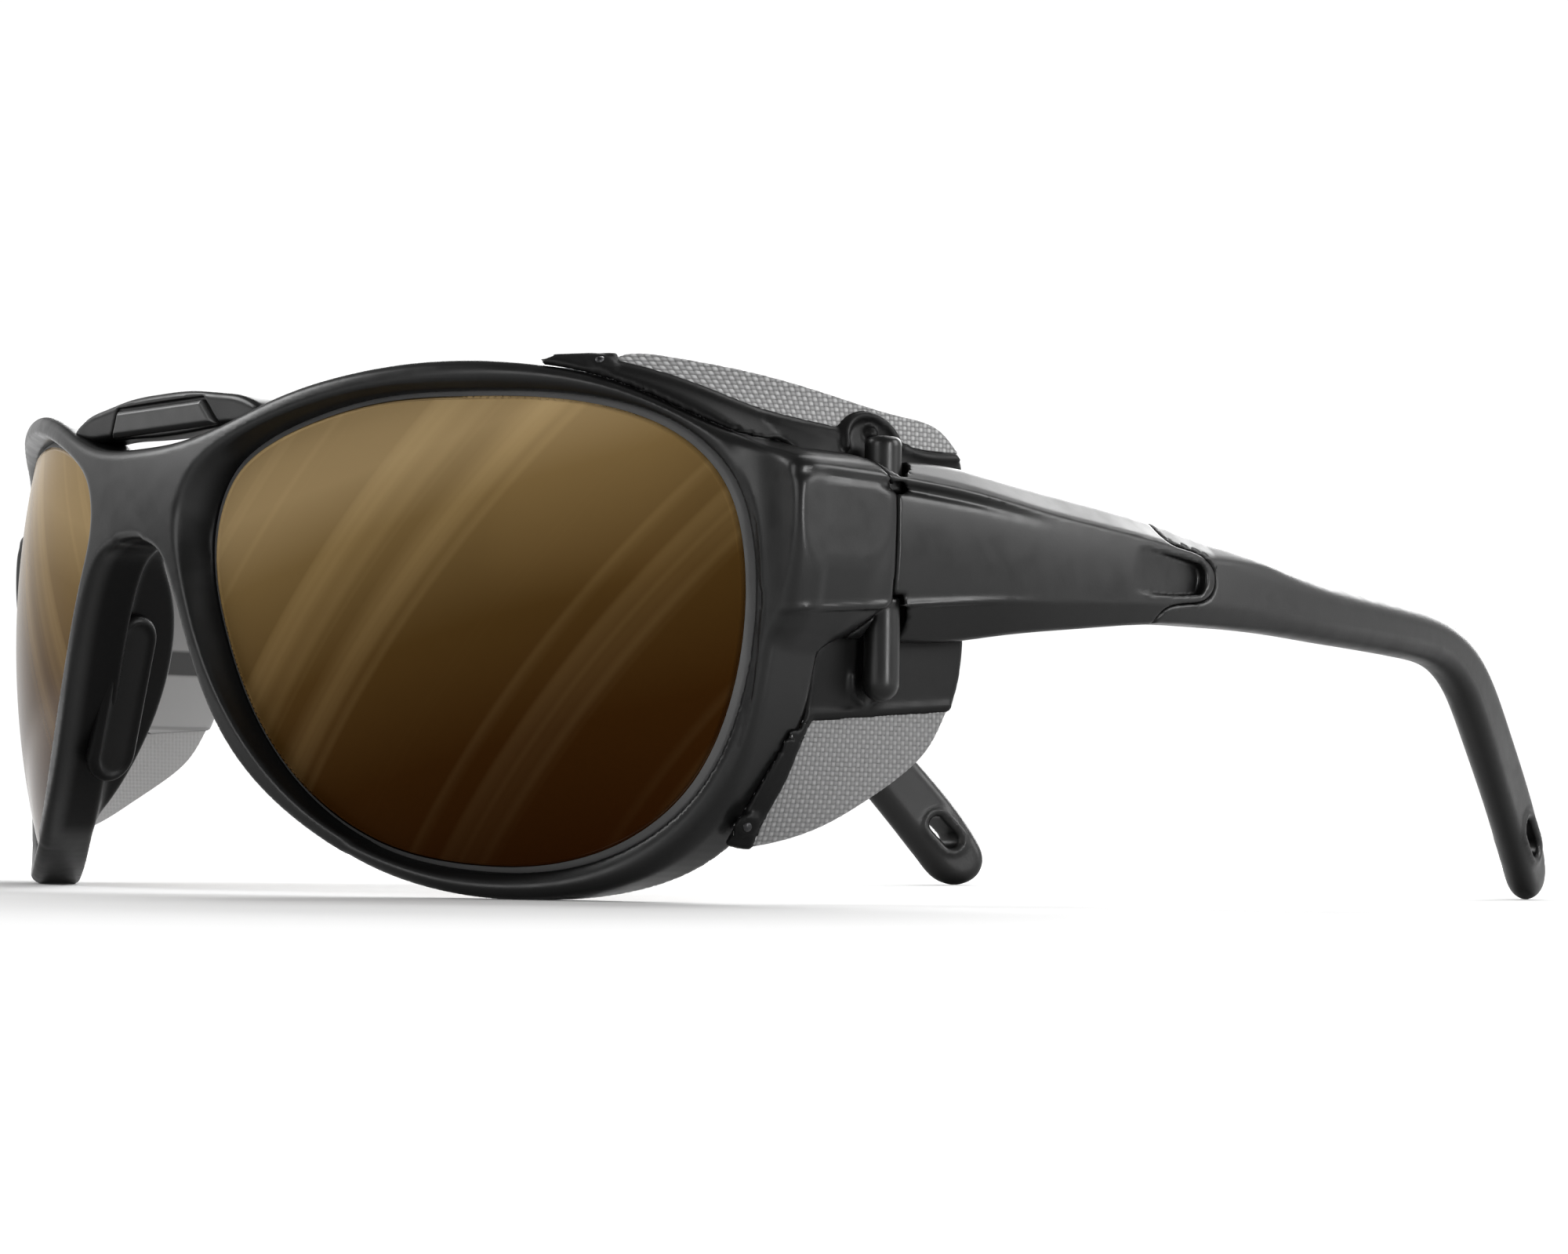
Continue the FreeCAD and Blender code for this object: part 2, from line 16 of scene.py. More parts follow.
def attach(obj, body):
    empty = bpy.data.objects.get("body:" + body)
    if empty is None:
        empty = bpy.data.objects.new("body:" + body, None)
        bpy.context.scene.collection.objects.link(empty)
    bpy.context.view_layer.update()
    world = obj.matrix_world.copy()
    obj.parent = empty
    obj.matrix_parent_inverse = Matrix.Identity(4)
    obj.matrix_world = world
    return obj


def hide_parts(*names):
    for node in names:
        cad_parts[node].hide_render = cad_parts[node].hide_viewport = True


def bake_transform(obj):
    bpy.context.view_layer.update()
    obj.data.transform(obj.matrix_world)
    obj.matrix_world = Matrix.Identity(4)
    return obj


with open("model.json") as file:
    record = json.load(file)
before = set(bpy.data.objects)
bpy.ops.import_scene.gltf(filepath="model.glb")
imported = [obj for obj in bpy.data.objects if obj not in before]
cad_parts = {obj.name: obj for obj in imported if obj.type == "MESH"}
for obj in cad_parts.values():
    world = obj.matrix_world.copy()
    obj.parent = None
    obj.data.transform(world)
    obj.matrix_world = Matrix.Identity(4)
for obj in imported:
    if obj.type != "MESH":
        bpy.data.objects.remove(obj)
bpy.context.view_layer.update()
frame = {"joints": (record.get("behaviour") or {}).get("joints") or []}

MM = 0.001
hinge = next(j for j in frame["joints"] if j["child"] == "temple_left")
HINGE_X = hinge["pos_m"][0] / MM
HINGE_Y = 37.2
BACK = HINGE_Y - hinge["pos_m"][1] / MM
SIDES = {"left": 1, "right": -1}


# ---------------------------------------------------------------- curves and tables


def spline(points, closed=False, per=8):
    """Points along the smooth cubic curve through the given ones."""
    p = np.array(points, float)
    if closed:
        p = np.vstack([p, p[:1]])
    n = len(p)
    h = np.linalg.norm(np.diff(p, axis=0), axis=1)
    slope = np.diff(p, axis=0) / h[:, None]
    a = np.zeros((n, n))
    b = np.zeros_like(p)
    for i in range(1, n - 1):
        a[i, i - 1 : i + 2] = h[i - 1], 2 * (h[i - 1] + h[i]), h[i]
        b[i] = 6 * (slope[i] - slope[i - 1])
    if closed:
        a[0, 0], a[0, -1] = 1, -1
        a[-1, 0], a[-1, 1] = 2 * (h[0] + h[-1]), h[0]
        a[-1, -2] = h[-1]
        b[-1] = 6 * (slope[0] - slope[-1])
    else:
        a[0, 0] = a[-1, -1] = 1
    m = np.linalg.solve(a, b)
    t = np.linspace(0, 1, per, endpoint=False)[:, None]
    out = []
    for i in range(n - 1):
        k = h[i] ** 2 / 6
        out.append(
            p[i] * (1 - t) + p[i + 1] * t + k * (((1 - t) ** 3 - (1 - t)) * m[i] + (t**3 - t) * m[i + 1])
        )
    if not closed:
        out.append(p[-1:])
    return np.vstack(out)


def runs(*parts):
    """A closed loop of smooth runs, each starting where the one before ends."""
    return np.vstack([spline(part)[:-1] for part in parts])


def both_sides(half):
    """Closes a half outline that starts on the middle plane with its mirror image."""
    return half + [(-x, z) for x, z in reversed(half[1:])]


class Table:
    """Values of two coordinates kept on a fine grid and read between its points."""

    def __init__(self, low, step, values):
        self.low, self.step, self.values = low, step, values

    def __call__(self, a, b):
        a, b = np.broadcast_arrays(a, b)
        i = np.clip((a - self.low[0]) / self.step, 0, self.values.shape[0] - 1.001)
        j = np.clip((b - self.low[1]) / self.step, 0, self.values.shape[1] - 1.001)
        i0, j0 = i.astype(int), j.astype(int)
        s, t = i - i0, j - j0
        v = self.values
        return (v[i0, j0] * (1 - s) + v[i0 + 1, j0] * s) * (1 - t) + (
            v[i0, j0 + 1] * (1 - s) + v[i0 + 1, j0 + 1] * s
        ) * t


def outline(loop, margin=5.0, step=0.15):
    """Signed distance to a closed loop, negative inside."""
    loop = np.asarray(loop, float)
    low, high = loop.min(0) - margin, loop.max(0) + margin
    na, nb = np.ceil((high - low) / step).astype(int) + 1
    ga = low[0] + step * np.arange(na)
    gb = low[1] + step * np.arange(nb)
    ends = np.roll(loop, -1, axis=0)
    best = np.full((na, nb), 1e9, np.float32)
    inside = np.zeros((na, nb), bool)
    x, y = ga[:, None], gb[None, :]
    for (ax, ay), (bx, by) in zip(loop, ends):
        dx, dy = bx - ax, by - ay
        t = np.clip(((x - ax) * dx + (y - ay) * dy) / (dx * dx + dy * dy + 1e-12), 0, 1)
        np.minimum(best, (x - ax - t * dx) ** 2 + (y - ay - t * dy) ** 2, out=best)
        if ay != by:
            crosses = (ay > y) != (by > y)
            inside ^= crosses & (x < ax + (y - ay) * dx / dy)
    return Table(low, step, np.where(inside, -1, 1) * np.sqrt(best))


def round_max(a, b, r):
    """What a and b share, its edge rounded to radius r."""
    u, v = np.maximum(a + r, 0), np.maximum(b + r, 0)
    return np.minimum(np.maximum(a, b), -r) + np.sqrt(u * u + v * v)


def round_min(a, b, r):
    """a and b together, the corner between them filled to radius r."""
    u, v = np.maximum(r - a, 0), np.maximum(r - b, 0)
    return np.maximum(np.minimum(a, b), r) - np.sqrt(u * u + v * v)


def smooth_step(t):
    t = np.clip(t, 0, 1)
    return t * t * (3 - 2 * t)


def level(z, *pairs):
    """Smoothed reading of a value given at a few stations."""
    at = np.array([p[0] for p in pairs], float)
    value = np.array([p[1] for p in pairs], float)
    fine = spline(np.stack([at, value], 1), per=24)
    return np.interp(z, fine[:, 0], fine[:, 1])


# ---------------------------------------------------------------- meshing


def surface_nets(field, low, high, step):
    """Vertices and quads round the zero surface of a field of x, y and z."""
    low, high = np.array(low, float), np.array(high, float)
    n = np.ceil((high - low) / step).astype(int) + 1
    xs, ys, zs = (low[i] + step * np.arange(n[i]) for i in range(3))
    values = np.empty(tuple(n), np.float32)
    for i in range(0, n[0], 48):
        values[i : i + 48] = field(xs[i : i + 48, None, None], ys[None, :, None], zs[None, None, :])
    inside = values < 0
    corners = [(i, j, k) for i in (0, 1) for j in (0, 1) for k in (0, 1)]
    count = sum(
        inside[i : n[0] - 1 + i, j : n[1] - 1 + j, k : n[2] - 1 + k].astype(np.int8) for i, j, k in corners
    )
    cells = np.argwhere((count > 0) & (count < 8))
    index = np.full(count.shape, -1, np.int64)
    index[tuple(cells.T)] = np.arange(len(cells))
    total = np.zeros((len(cells), 3))
    hits = np.zeros((len(cells), 1))
    for axis in range(3):
        unit = np.eye(3, dtype=int)[axis]
        for corner in corners:
            if corner[axis]:
                continue
            a = cells + corner
            va, vb = values[tuple(a.T)], values[tuple((a + unit).T)]
            cross = (va < 0) != (vb < 0)
            t = np.where(cross, va / np.where(cross, va - vb, 1), 0)[:, None]
            total += np.where(cross[:, None], corner + t * unit, 0)
            hits += cross[:, None]
    verts = low + step * (cells + total / hits)
    quads = []
    for axis in range(3):
        u, v = np.eye(3, dtype=int)[(axis + 1) % 3], np.eye(3, dtype=int)[(axis + 2) % 3]
        a = [slice(None)] * 3
        b = [slice(None)] * 3
        a[axis], b[axis] = slice(0, -1), slice(1, None)
        cross = inside[tuple(a)] != inside[tuple(b)]
        edges = np.argwhere(cross)
        edges = edges[(edges[:, (axis + 1) % 3] > 0) & (edges[:, (axis + 2) % 3] > 0)]
        limit = np.array(index.shape)
        edges = edges[np.all(edges < limit, axis=1)]
        around = [index[tuple((edges - s).T)] for s in (u * 0, u, u + v, v)]
        quad = np.stack(around, 1)
        flip = inside[tuple(edges.T)]
        quad[flip] = quad[flip][:, ::-1]
        quads.append(quad)
    quads = np.vstack(quads)[:, ::-1]
    return verts, quads[np.all(quads >= 0, axis=1)]


def gradient(field, p, eps=0.03):
    steps = np.eye(3) * eps
    return np.stack([field(*(p + s).T) - field(*(p - s).T) for s in steps], 1) / (2 * eps)


def settle(field, verts, quads, step, rounds=4):
    """Spreads the vertices evenly and pulls them onto the surface."""
    edges = np.vstack([quads[:, [0, 1]], quads[:, [1, 2]], quads[:, [2, 3]], quads[:, [3, 0]]])
    degree = np.bincount(edges.ravel(), minlength=len(verts))[:, None]
    for turn in range(rounds):
        if turn:
            total = np.zeros_like(verts)
            for axis in range(3):
                total[:, axis] = np.bincount(
                    edges[:, 0], verts[edges[:, 1], axis], len(verts)
                ) + np.bincount(edges[:, 1], verts[edges[:, 0], axis], len(verts))
            move = total / np.maximum(degree, 1) - verts
            normal = gradient(field, verts)
            normal /= np.linalg.norm(normal, axis=1)[:, None] + 1e-9
            verts = verts + 0.6 * (move - normal * np.sum(move * normal, 1)[:, None])
        for _ in range(2):
            g = gradient(field, verts)
            d = field(*verts.T)[:, None]
            pull = d * g / (np.sum(g * g, 1)[:, None] + 1e-6)
            verts = verts - np.clip(pull, -step, step)
    return verts


def moulded(field, low, high, step):
    verts, quads = surface_nets(field, low, high, step)
    return settle(field, verts, quads, step), quads


# ---------------------------------------------------------------- pieces


def make_piece(name, verts, faces, material, sign=1, smooth=True):
    """A mesh object from drawing millimetres; sign -1 mirrors it to the other side."""
    v = np.array(verts, float)
    v[:, 0] *= sign
    v[:, 1] -= BACK
    faces = [list(map(int, f)) if sign > 0 else list(map(int, f[::-1])) for f in faces]
    mesh = bpy.data.meshes.new(name)
    mesh.from_pydata((v * MM).tolist(), [], faces)
    mesh.polygons.foreach_set("use_smooth", [smooth] * len(mesh.polygons))
    mesh.materials.append(material)
    mesh.update()
    thing = bpy.data.objects.new(name, mesh)
    bpy.context.scene.collection.objects.link(thing)
    return thing


def grid_faces(rows, cols, wrap=False):
    """Quads of a grid of vertices, rows by cols, its columns joined up if it wraps."""
    faces = []
    for i in range(rows - 1):
        for j in range(cols if wrap else cols - 1):
            k = (j + 1) % cols
            faces.append((i * cols + j, i * cols + k, (i + 1) * cols + k, (i + 1) * cols + j))
    return faces


# ---------------------------------------------------------------- materials


def new_material(name):
    """A node material with its Principled shader and its tree."""
    material = bpy.data.materials.new(name)
    material.use_nodes = True
    tree = material.node_tree
    return material, tree, tree.nodes["Principled BSDF"]


def place(tree):
    return tree.nodes.new("ShaderNodeTexCoord").outputs["Object"]


def noise(tree, scale, detail=3.0, source=None):
    node = tree.nodes.new("ShaderNodeTexNoise")
    node.inputs["Scale"].default_value = scale
    node.inputs["Detail"].default_value = detail
    tree.links.new(source or place(tree), node.inputs["Vector"])
    return node.outputs["Fac"]


def ramp(tree, source, *stops):
    """Colours or greys along a 0 to 1 value."""
    node = tree.nodes.new("ShaderNodeValToRGB")
    tree.links.new(source, node.inputs["Fac"])
    band = node.color_ramp
    while len(band.elements) < len(stops):
        band.elements.new(0.5)
    for element, (at, colour) in zip(band.elements, stops):
        element.position = at
        element.color = (*colour, 1) if isinstance(colour, tuple) else (colour, colour, colour, 1)
    return node.outputs["Color"]


def bump(tree, shader, height, strength, distance):
    node = tree.nodes.new("ShaderNodeBump")
    node.inputs["Strength"].default_value = strength
    node.inputs["Distance"].default_value = distance
    tree.links.new(height, node.inputs["Height"])
    tree.links.new(node.outputs["Normal"], shader.inputs["Normal"])


def maths(tree, kind, *values):
    """A math node's output; each value is a number or another node's output."""
    node = tree.nodes.new("ShaderNodeMath")
    node.operation = kind
    for socket, value in zip(node.inputs, values):
        if isinstance(value, (int, float)):
            socket.default_value = value
        else:
            tree.links.new(value, socket)
    return node.outputs["Value"]


def sheen(tree, shader, specular, under, top):
    """Sheen by how far a face points up or down, less in nooks; tuned against the photograph."""
    split = tree.nodes.new("ShaderNodeSeparateXYZ")
    tree.links.new(tree.nodes.new("ShaderNodeNewGeometry").outputs["Normal"], split.inputs["Vector"])
    # Painted shade: less sheen on faces that point down and on faces that point up, for how light falls on
    # them.
    facing = ramp(
        tree,
        maths(tree, "MULTIPLY_ADD", split.outputs["Z"], 0.5, 0.5),
        (0.12, specular * under),
        (0.42, specular * (0.6 + 0.4 * under)),
        (0.50, specular),
        (0.72, specular),
        (0.92, specular * top),
    )
    # Painted shade: the nook value cuts the sheen back further in recesses.
    nook = tree.nodes.new("ShaderNodeAttribute")
    nook.attribute_name = "nook"
    keep = ramp(tree, nook.outputs["Fac"], (0.0, 1.0), (1.0, 0.16))
    tree.links.new(maths(tree, "MULTIPLY", facing, keep), shader.inputs["Specular IOR Level"])


def moulded_plastic(
    name, dark, light, rough_low, rough_high, grain, strength, specular=0.5, under=0.15, top=0.35
):
    """Moulded plastic or rubber: a fine spark-eroded grain, uneven sheen with painted shade on undersides, on
    tops and in nooks, and a little colour variation.
    """
    material, tree, shader = new_material(name)
    patches = noise(tree, 90.0, 4.0)
    tree.links.new(ramp(tree, patches, (0.3, dark), (0.7, light)), shader.inputs["Base Color"])
    wear = noise(tree, 420.0, 5.0)
    tree.links.new(ramp(tree, wear, (0.35, rough_low), (0.7, rough_high)), shader.inputs["Roughness"])
    bump(tree, shader, noise(tree, grain, 2.0), strength, 0.00003)
    sheen(tree, shader, specular, under, top)
    return material


def lens_material():
    """A brown mirror coating, paler at the top and inner side.

    The brown is the coating's own; its paler gradient and its slanting streaks are painted reflections,
    painted in, not reflected.
    """
    material, tree, shader = new_material("lens_mirror")
    split = tree.nodes.new("ShaderNodeSeparateXYZ")
    tree.links.new(place(tree), split.inputs["Vector"])
    height = maths(tree, "MULTIPLY", split.outputs["Z"], 1 / (50 * MM))
    across = maths(tree, "MULTIPLY", maths(tree, "ABSOLUTE", split.outputs["X"], 0.0), 1 / (70 * MM))
    slanted = maths(tree, "SUBTRACT", height, maths(tree, "MULTIPLY", across, 0.42))
    fade = maths(tree, "ADD", slanted, 0.30)
    drift = maths(tree, "MULTIPLY", noise(tree, 18.0, 2.0), 0.10)
    # Painted reflection: the colour pales towards the top and the inner side.
    base = ramp(
        tree,
        maths(tree, "ADD", fade, drift),
        (0.10, (0.022, 0.0062, 0.0012)),
        (0.38, (0.031, 0.0112, 0.0019)),
        (0.62, (0.062, 0.032, 0.0078)),
        (0.86, (0.150, 0.096, 0.036)),
        (1.08, (0.270, 0.190, 0.092)),
    )
    # Painted reflection: pale slanting streaks screened over the colour.
    leaning = maths(tree, "MULTIPLY", height, -1.15)
    streak_line = maths(tree, "ADD", maths(tree, "MULTIPLY", across, 2.1), leaning)
    wave = tree.nodes.new("ShaderNodeTexNoise")
    wave.noise_dimensions = "1D"
    wave.inputs["Scale"].default_value = 4.2
    wave.inputs["Detail"].default_value = 3.5
    tree.links.new(streak_line, wave.inputs["W"])
    streak = ramp(tree, wave.outputs["Fac"], (0.50, 0.0), (0.66, 0.60))
    mix = tree.nodes.new("ShaderNodeMix")
    mix.data_type = "RGBA"
    mix.blend_type = "SCREEN"
    share = maths(tree, "MULTIPLY", maths(tree, "MULTIPLY", streak, fade), 0.19)
    tree.links.new(share, mix.inputs["Factor"])
    tree.links.new(base, mix.inputs["A"])
    mix.inputs["B"].default_value = (0.9, 0.62, 0.28, 1)
    tree.links.new(mix.outputs["Result"], shader.inputs["Base Color"])
    shader.inputs["Metallic"].default_value = 0.05
    shader.inputs["Roughness"].default_value = 0.18
    shader.inputs["Specular IOR Level"].default_value = 0.018
    shader.inputs["Specular Tint"].default_value = (0.60, 0.42, 0.22, 1)
    return material


def lining_material():
    """The pale inside of a shield, with the dark band seen across it."""
    material, tree, shader = new_material("shield_lining")
    split = tree.nodes.new("ShaderNodeSeparateXYZ")
    tree.links.new(place(tree), split.inputs["Vector"])
    stripes = ramp(
        tree,
        maths(tree, "MULTIPLY", split.outputs["Z"], 1 / (55 * MM)),
        (0.10, 0.33),
        (0.328, 0.31),
        (0.334, 0.16),
        (0.340, 0.28),
        (0.448, 0.25),
        (0.452, 0.035),
        (0.502, 0.035),
        (0.506, 0.20),
        (0.70, 0.12),
    )
    tree.links.new(stripes, shader.inputs["Base Color"])
    wear = noise(tree, 420.0, 4.0)
    tree.links.new(ramp(tree, wear, (0.3, 0.42), (0.7, 0.54)), shader.inputs["Roughness"])
    bump(tree, shader, noise(tree, 4200.0, 2.0), 0.16, 0.00003)
    shader.inputs["Specular IOR Level"].default_value = 0.25
    return material


def metal(name, colour, rough):
    """Turned metal with fine machining lines and a little tarnish."""
    material, tree, shader = new_material(name)
    lines = noise(tree, 1500.0, 1.0)
    tarnished = tuple(c * 0.7 for c in colour)
    tarnish = ramp(tree, noise(tree, 300.0), (0.3, colour), (0.8, tarnished))
    tree.links.new(tarnish, shader.inputs["Base Color"])
    tree.links.new(ramp(tree, lines, (0.3, rough), (0.7, rough + 0.12)), shader.inputs["Roughness"])
    shader.inputs["Metallic"].default_value = 1.0
    bump(tree, shader, lines, 0.2, 0.00002)
    return material


def weave_material():
    """Grey woven mesh: pale yarn tops and dark gaps, read from the height of the weave; the dark gaps are
    painted shade between the yarns, and each sheet's tone carries painted light and shade.
    """
    material, tree, shader = new_material("woven_mesh")
    height = tree.nodes.new("ShaderNodeAttribute")
    height.attribute_name = "yarn"
    tone = ramp(tree, height.outputs["Fac"], (0.0, 0.05), (0.5, 0.20), (1.0, 0.42))
    tree.links.new(tone, shader.inputs["Base Color"])
    fibres = noise(tree, 2600.0, 3.0)
    tree.links.new(ramp(tree, fibres, (0.3, 0.48), (0.7, 0.66)), shader.inputs["Roughness"])
    bump(tree, shader, fibres, 0.15, 0.00003)
    shader.inputs["Sheen Weight"].default_value = 0.15
    return material


# Where a set has ten values, the last two keep that much sheen on undersides and on tops: painted shade.
SATIN = moulded_plastic("frame_satin", 0.0038, 0.0052, 0.30, 0.38, 5200.0, 0.12, 0.42, 0.45, 0.05)
CHARCOAL = moulded_plastic("arm_satin", 0.0050, 0.0068, 0.30, 0.38, 5200.0, 0.12, 0.42, 0.15, 0.20)
TIP_RUBBER = moulded_plastic("tip_rubber", 0.0060, 0.0085, 0.36, 0.44, 4200.0, 0.20, 0.48, 0.20, 0.12)
PAD_RUBBER = moulded_plastic("pad_rubber", 0.0040, 0.0056, 0.36, 0.46, 3800.0, 0.22, 0.16)
SHIELD_BLACK = moulded_plastic("shield_soft", 0.0050, 0.0068, 0.38, 0.48, 4200.0, 0.16, 0.17, 0.15, 0.10)
SHIELD_LINING = lining_material()
PLATE_SATIN = moulded_plastic("plate_satin", 0.020, 0.026, 0.32, 0.42, 6000.0, 0.10, 0.8)
LENS = lens_material()
WOVEN = weave_material()
STEEL = metal("core_steel", (0.55, 0.55, 0.56), 0.3)
# The lens bevel is pale grey as a painted highlight: the bright line round each lens edge.
LENS_BEVEL_HIGHLIGHT = moulded_plastic("lens_bevel_highlight", 0.075, 0.095, 0.30, 0.40, 5200.0, 0.05)
BLACK_STEEL = metal("screw_steel", (0.05, 0.05, 0.052), 0.32)

# ---------------------------------------------------------------- front: outlines

FRONT_HALF = [
    (0.0, 44.4), (7.5, 44.8), (13.0, 46.0), (20.2, 48.3), (28.4, 50.1), (36.5, 50.85), (45.0, 50.4),
    (53.0, 48.5), (60.2, 44.9), (65.6, 42.3), (69.8, 40.0), (70.8, 36.0), (70.0, 31.0), (68.2, 25.5),
    (66.9, 19.5), (64.7, 12.8), (61.3, 7.0), (56.3, 2.8), (50.0, 0.6), (43.8, 0.0), (37.3, 0.7),
    (30.3, 3.0), (23.3, 7.4),
    (17.3, 13.0), (12.9, 19.7), (10.0, 26.0), (7.9, 30.7), (5.4, 33.9), (2.2, 35.0),
]
LENS_LOOP = [
    (39.8, 47.9), (31.6, 47.8), (22.6, 46.2), (17.0, 44.3), (12.8, 41.5), (10.6, 34.6), (12.6, 26.0),
    (16.2, 17.9), (23.2, 9.2), (31.4, 4.4), (39.3, 2.8), (46.6, 2.8), (53.7, 4.9), (60.0, 10.0),
    (64.0, 17.9), (65.5, 26.0), (65.3, 33.0), (63.4, 39.3), (59.0, 44.0), (52.8, 46.6),
]
LIP_LOOP = [
    (41.6, 49.2), (29.7, 48.5), (20.2, 46.3), (14.2, 44.2), (9.6, 41.2), (7.9, 36.9), (9.4, 31.5),
    (12.4, 24.4), (17.5, 15.8), (23.4, 9.6), (29.8, 5.1), (37.3, 2.0), (44.5, 1.2), (51.4, 2.0),
    (57.9, 5.3), (62.6, 10.8), (65.4, 17.5), (66.6, 25.3), (66.4, 32.5), (64.9, 38.6),
    (60.4, 44.6), (52.3, 48.1),
]
FRONT_EDGE = outline(spline(both_sides(FRONT_HALF), True, 6))
LENS_EDGE = outline(spline(LENS_LOOP, True, 8))
LIP_EDGE = outline(spline(LIP_LOOP, True, 8))

CENTRE_Z = 28.5
RIM_RADIUS, RIM_CENTRE = 95.0, 91.6
LENS_RADIUS, LENS_CENTRE = 100.9, 100.5
BACK_RADIUS, BACK_CENTRE = 97.6, 100.5
LENS_THICK = 2.0


def sphere(x, y, z, radius, centre):
    return np.sqrt(x * x + (y - centre) ** 2 + (z - CENTRE_Z) ** 2) - radius


def sphere_y(x, z, radius, centre):
    """The front of a sphere at x and z."""
    return centre - np.sqrt(np.maximum(radius**2 - x * x - (z - CENTRE_Z) ** 2, 1))


# nose flanks
FLANK_NOSE_SIDE = [
    (2.6, 35.2), (5.6, 33.8), (7.9, 30.7), (10.0, 26.2), (12.4, 19.6), (16.0, 13.2), (21.5, 7.8),
    (26.0, 4.9),
]
FLANK_LENS_SIDE = [
    (26.8, 6.7), (22.7, 9.4), (17.6, 14.5), (14.1, 20.6), (11.8, 26.9), (9.8, 31.7), (7.2, 35.5),
    (3.2, 37.2),
]
FLANK_WALL = outline(
    runs(
        FLANK_NOSE_SIDE,
        [FLANK_NOSE_SIDE[-1], FLANK_LENS_SIDE[0]],
        FLANK_LENS_SIDE,
        [FLANK_LENS_SIDE[-1], FLANK_NOSE_SIDE[0]],
    )
)
FLANK_REAR = outline(
    runs(
        [(-8.0, 3.0), (-8.0, 45.0)],
        [(-8.0, 45.0), (4.0, 45.0)],
        [(4.0, 45.0), (4.6, 36.5), (8.6, 32.0), (11.2, 27.0), (11.4, 20.0), (10.2, 12.0), (9.4, 6.5),
         (8.6, 3.0)],
        [(8.6, 3.0), (-8.0, 3.0)],
    )
)
FLANK_START, FLANK_SLANT = -5.0, 0.22

# ---------------------------------------------------------------- side profile of end pieces and arms

SIDE_FACE = 71.2
TEMPLE_INNER = 66.7
PART_LINE = 36.6
WIDEST = 71.22
SPLAY, SPLAY_START = 0.00172, 50.0


def splay(y):
    return SPLAY * np.maximum(0, y - SPLAY_START) ** 2


def ridge_z(y):
    """Height of the ridge under the top chamfer."""
    return level(y, (20, 40.3), (37, 39.6), (47, 38.8), (57.5, 37.4), (68.9, 36.2), (82, 34.6))


def top_z(y):
    """Height of the top of the end pieces and arms."""
    return level(
        y, (20, 41.0), (36, 41.3), (45.3, 41.5), (52.1, 40.7), (63, 39.4), (72.5, 38.2), (84, 36.2)
    )


def step_z(y):
    """Height of the small step above the underside."""
    return level(y, (20, 26.3), (30, 27.0), (42, 28.0), (53, 28.8), (70, 29.6), (84, 30.0))


def bottom_z(y):
    """Height of their underside."""
    return level(
        y, (20, 24.9), (36, 24.6), (45, 24.7), (52.4, 25.7), (63.4, 26.9), (72.3, 27.7), (84, 27.9)
    )


def face_in(y, z):
    """How far the outer face lies inside the flat side plane at y and z."""
    ridge, step = ridge_z(y), step_z(y)
    near = 1 - smooth_step((y - 40) / 18)
    crown = 0.85 * np.clip((ridge - 4.5 - z) / 9, -0.5, 1.5) ** 2
    groove = 0.45 * near * np.exp(-(((z - ridge + 0.85) / 0.45) ** 2))
    band = 0.55 + 0.35 * near
    up = z - ridge
    chamfer = np.where(up > 0, 0.75 * np.minimum(up, band) + 1.05 * np.maximum(up - band, 0), 0)
    down = step - z
    edge = 0.40 * near * smooth_step(down / 0.3 + 0.5)
    lip = -0.16 * near * np.exp(-(((z - step - 0.35) / 0.30) ** 2))
    under = 0.42 * np.maximum(down, 0) + 0.05 * np.maximum(down, 0) ** 2
    panel = 0.20 * smooth_step((y - 27.0) / 1.1) * smooth_step((z - step) / 0.6)
    panel = panel * smooth_step((ridge - z) / 0.6)
    return crown + groove + chamfer + edge + lip + under + panel * near


def side_section(x, y, z, inner, rounding=0.7):
    """Cross-section shared by the end pieces and the arms."""
    face = (x - (SIDE_FACE - splay(y) - face_in(y, z))) * 0.85
    tall = round_max(z - top_z(y), bottom_z(y) - z, 0.2)
    return round_max(round_max(face, tall, 0.45), inner - x, rounding)


def parting(y, z):
    """Distance past the line between an end piece and its arm, which slants forward round the barrel."""
    low = np.clip(28.2 - z, 0, 4.2)
    high = np.clip(z - 38.2, 0, 3.0)
    return y - (PART_LINE - 1.15 * low - 0.75 * high)


# ---------------------------------------------------------------- front frame


def capsule(x, y, z, cx, cy, low, high, r):
    """A round-ended upright rod."""
    dz = np.maximum(np.maximum(low - z, z - high), 0)
    return np.sqrt((x - cx) ** 2 + (y - cy) ** 2 + dz * dz) - r


def post(x, y, z, cx, cy, low, high, r, rounding):
    """An upright rod with flat, rounded ends."""
    side = np.sqrt((x - cx) ** 2 + (y - cy) ** 2) - r
    return round_max(side, np.maximum(low - z, z - high), rounding)


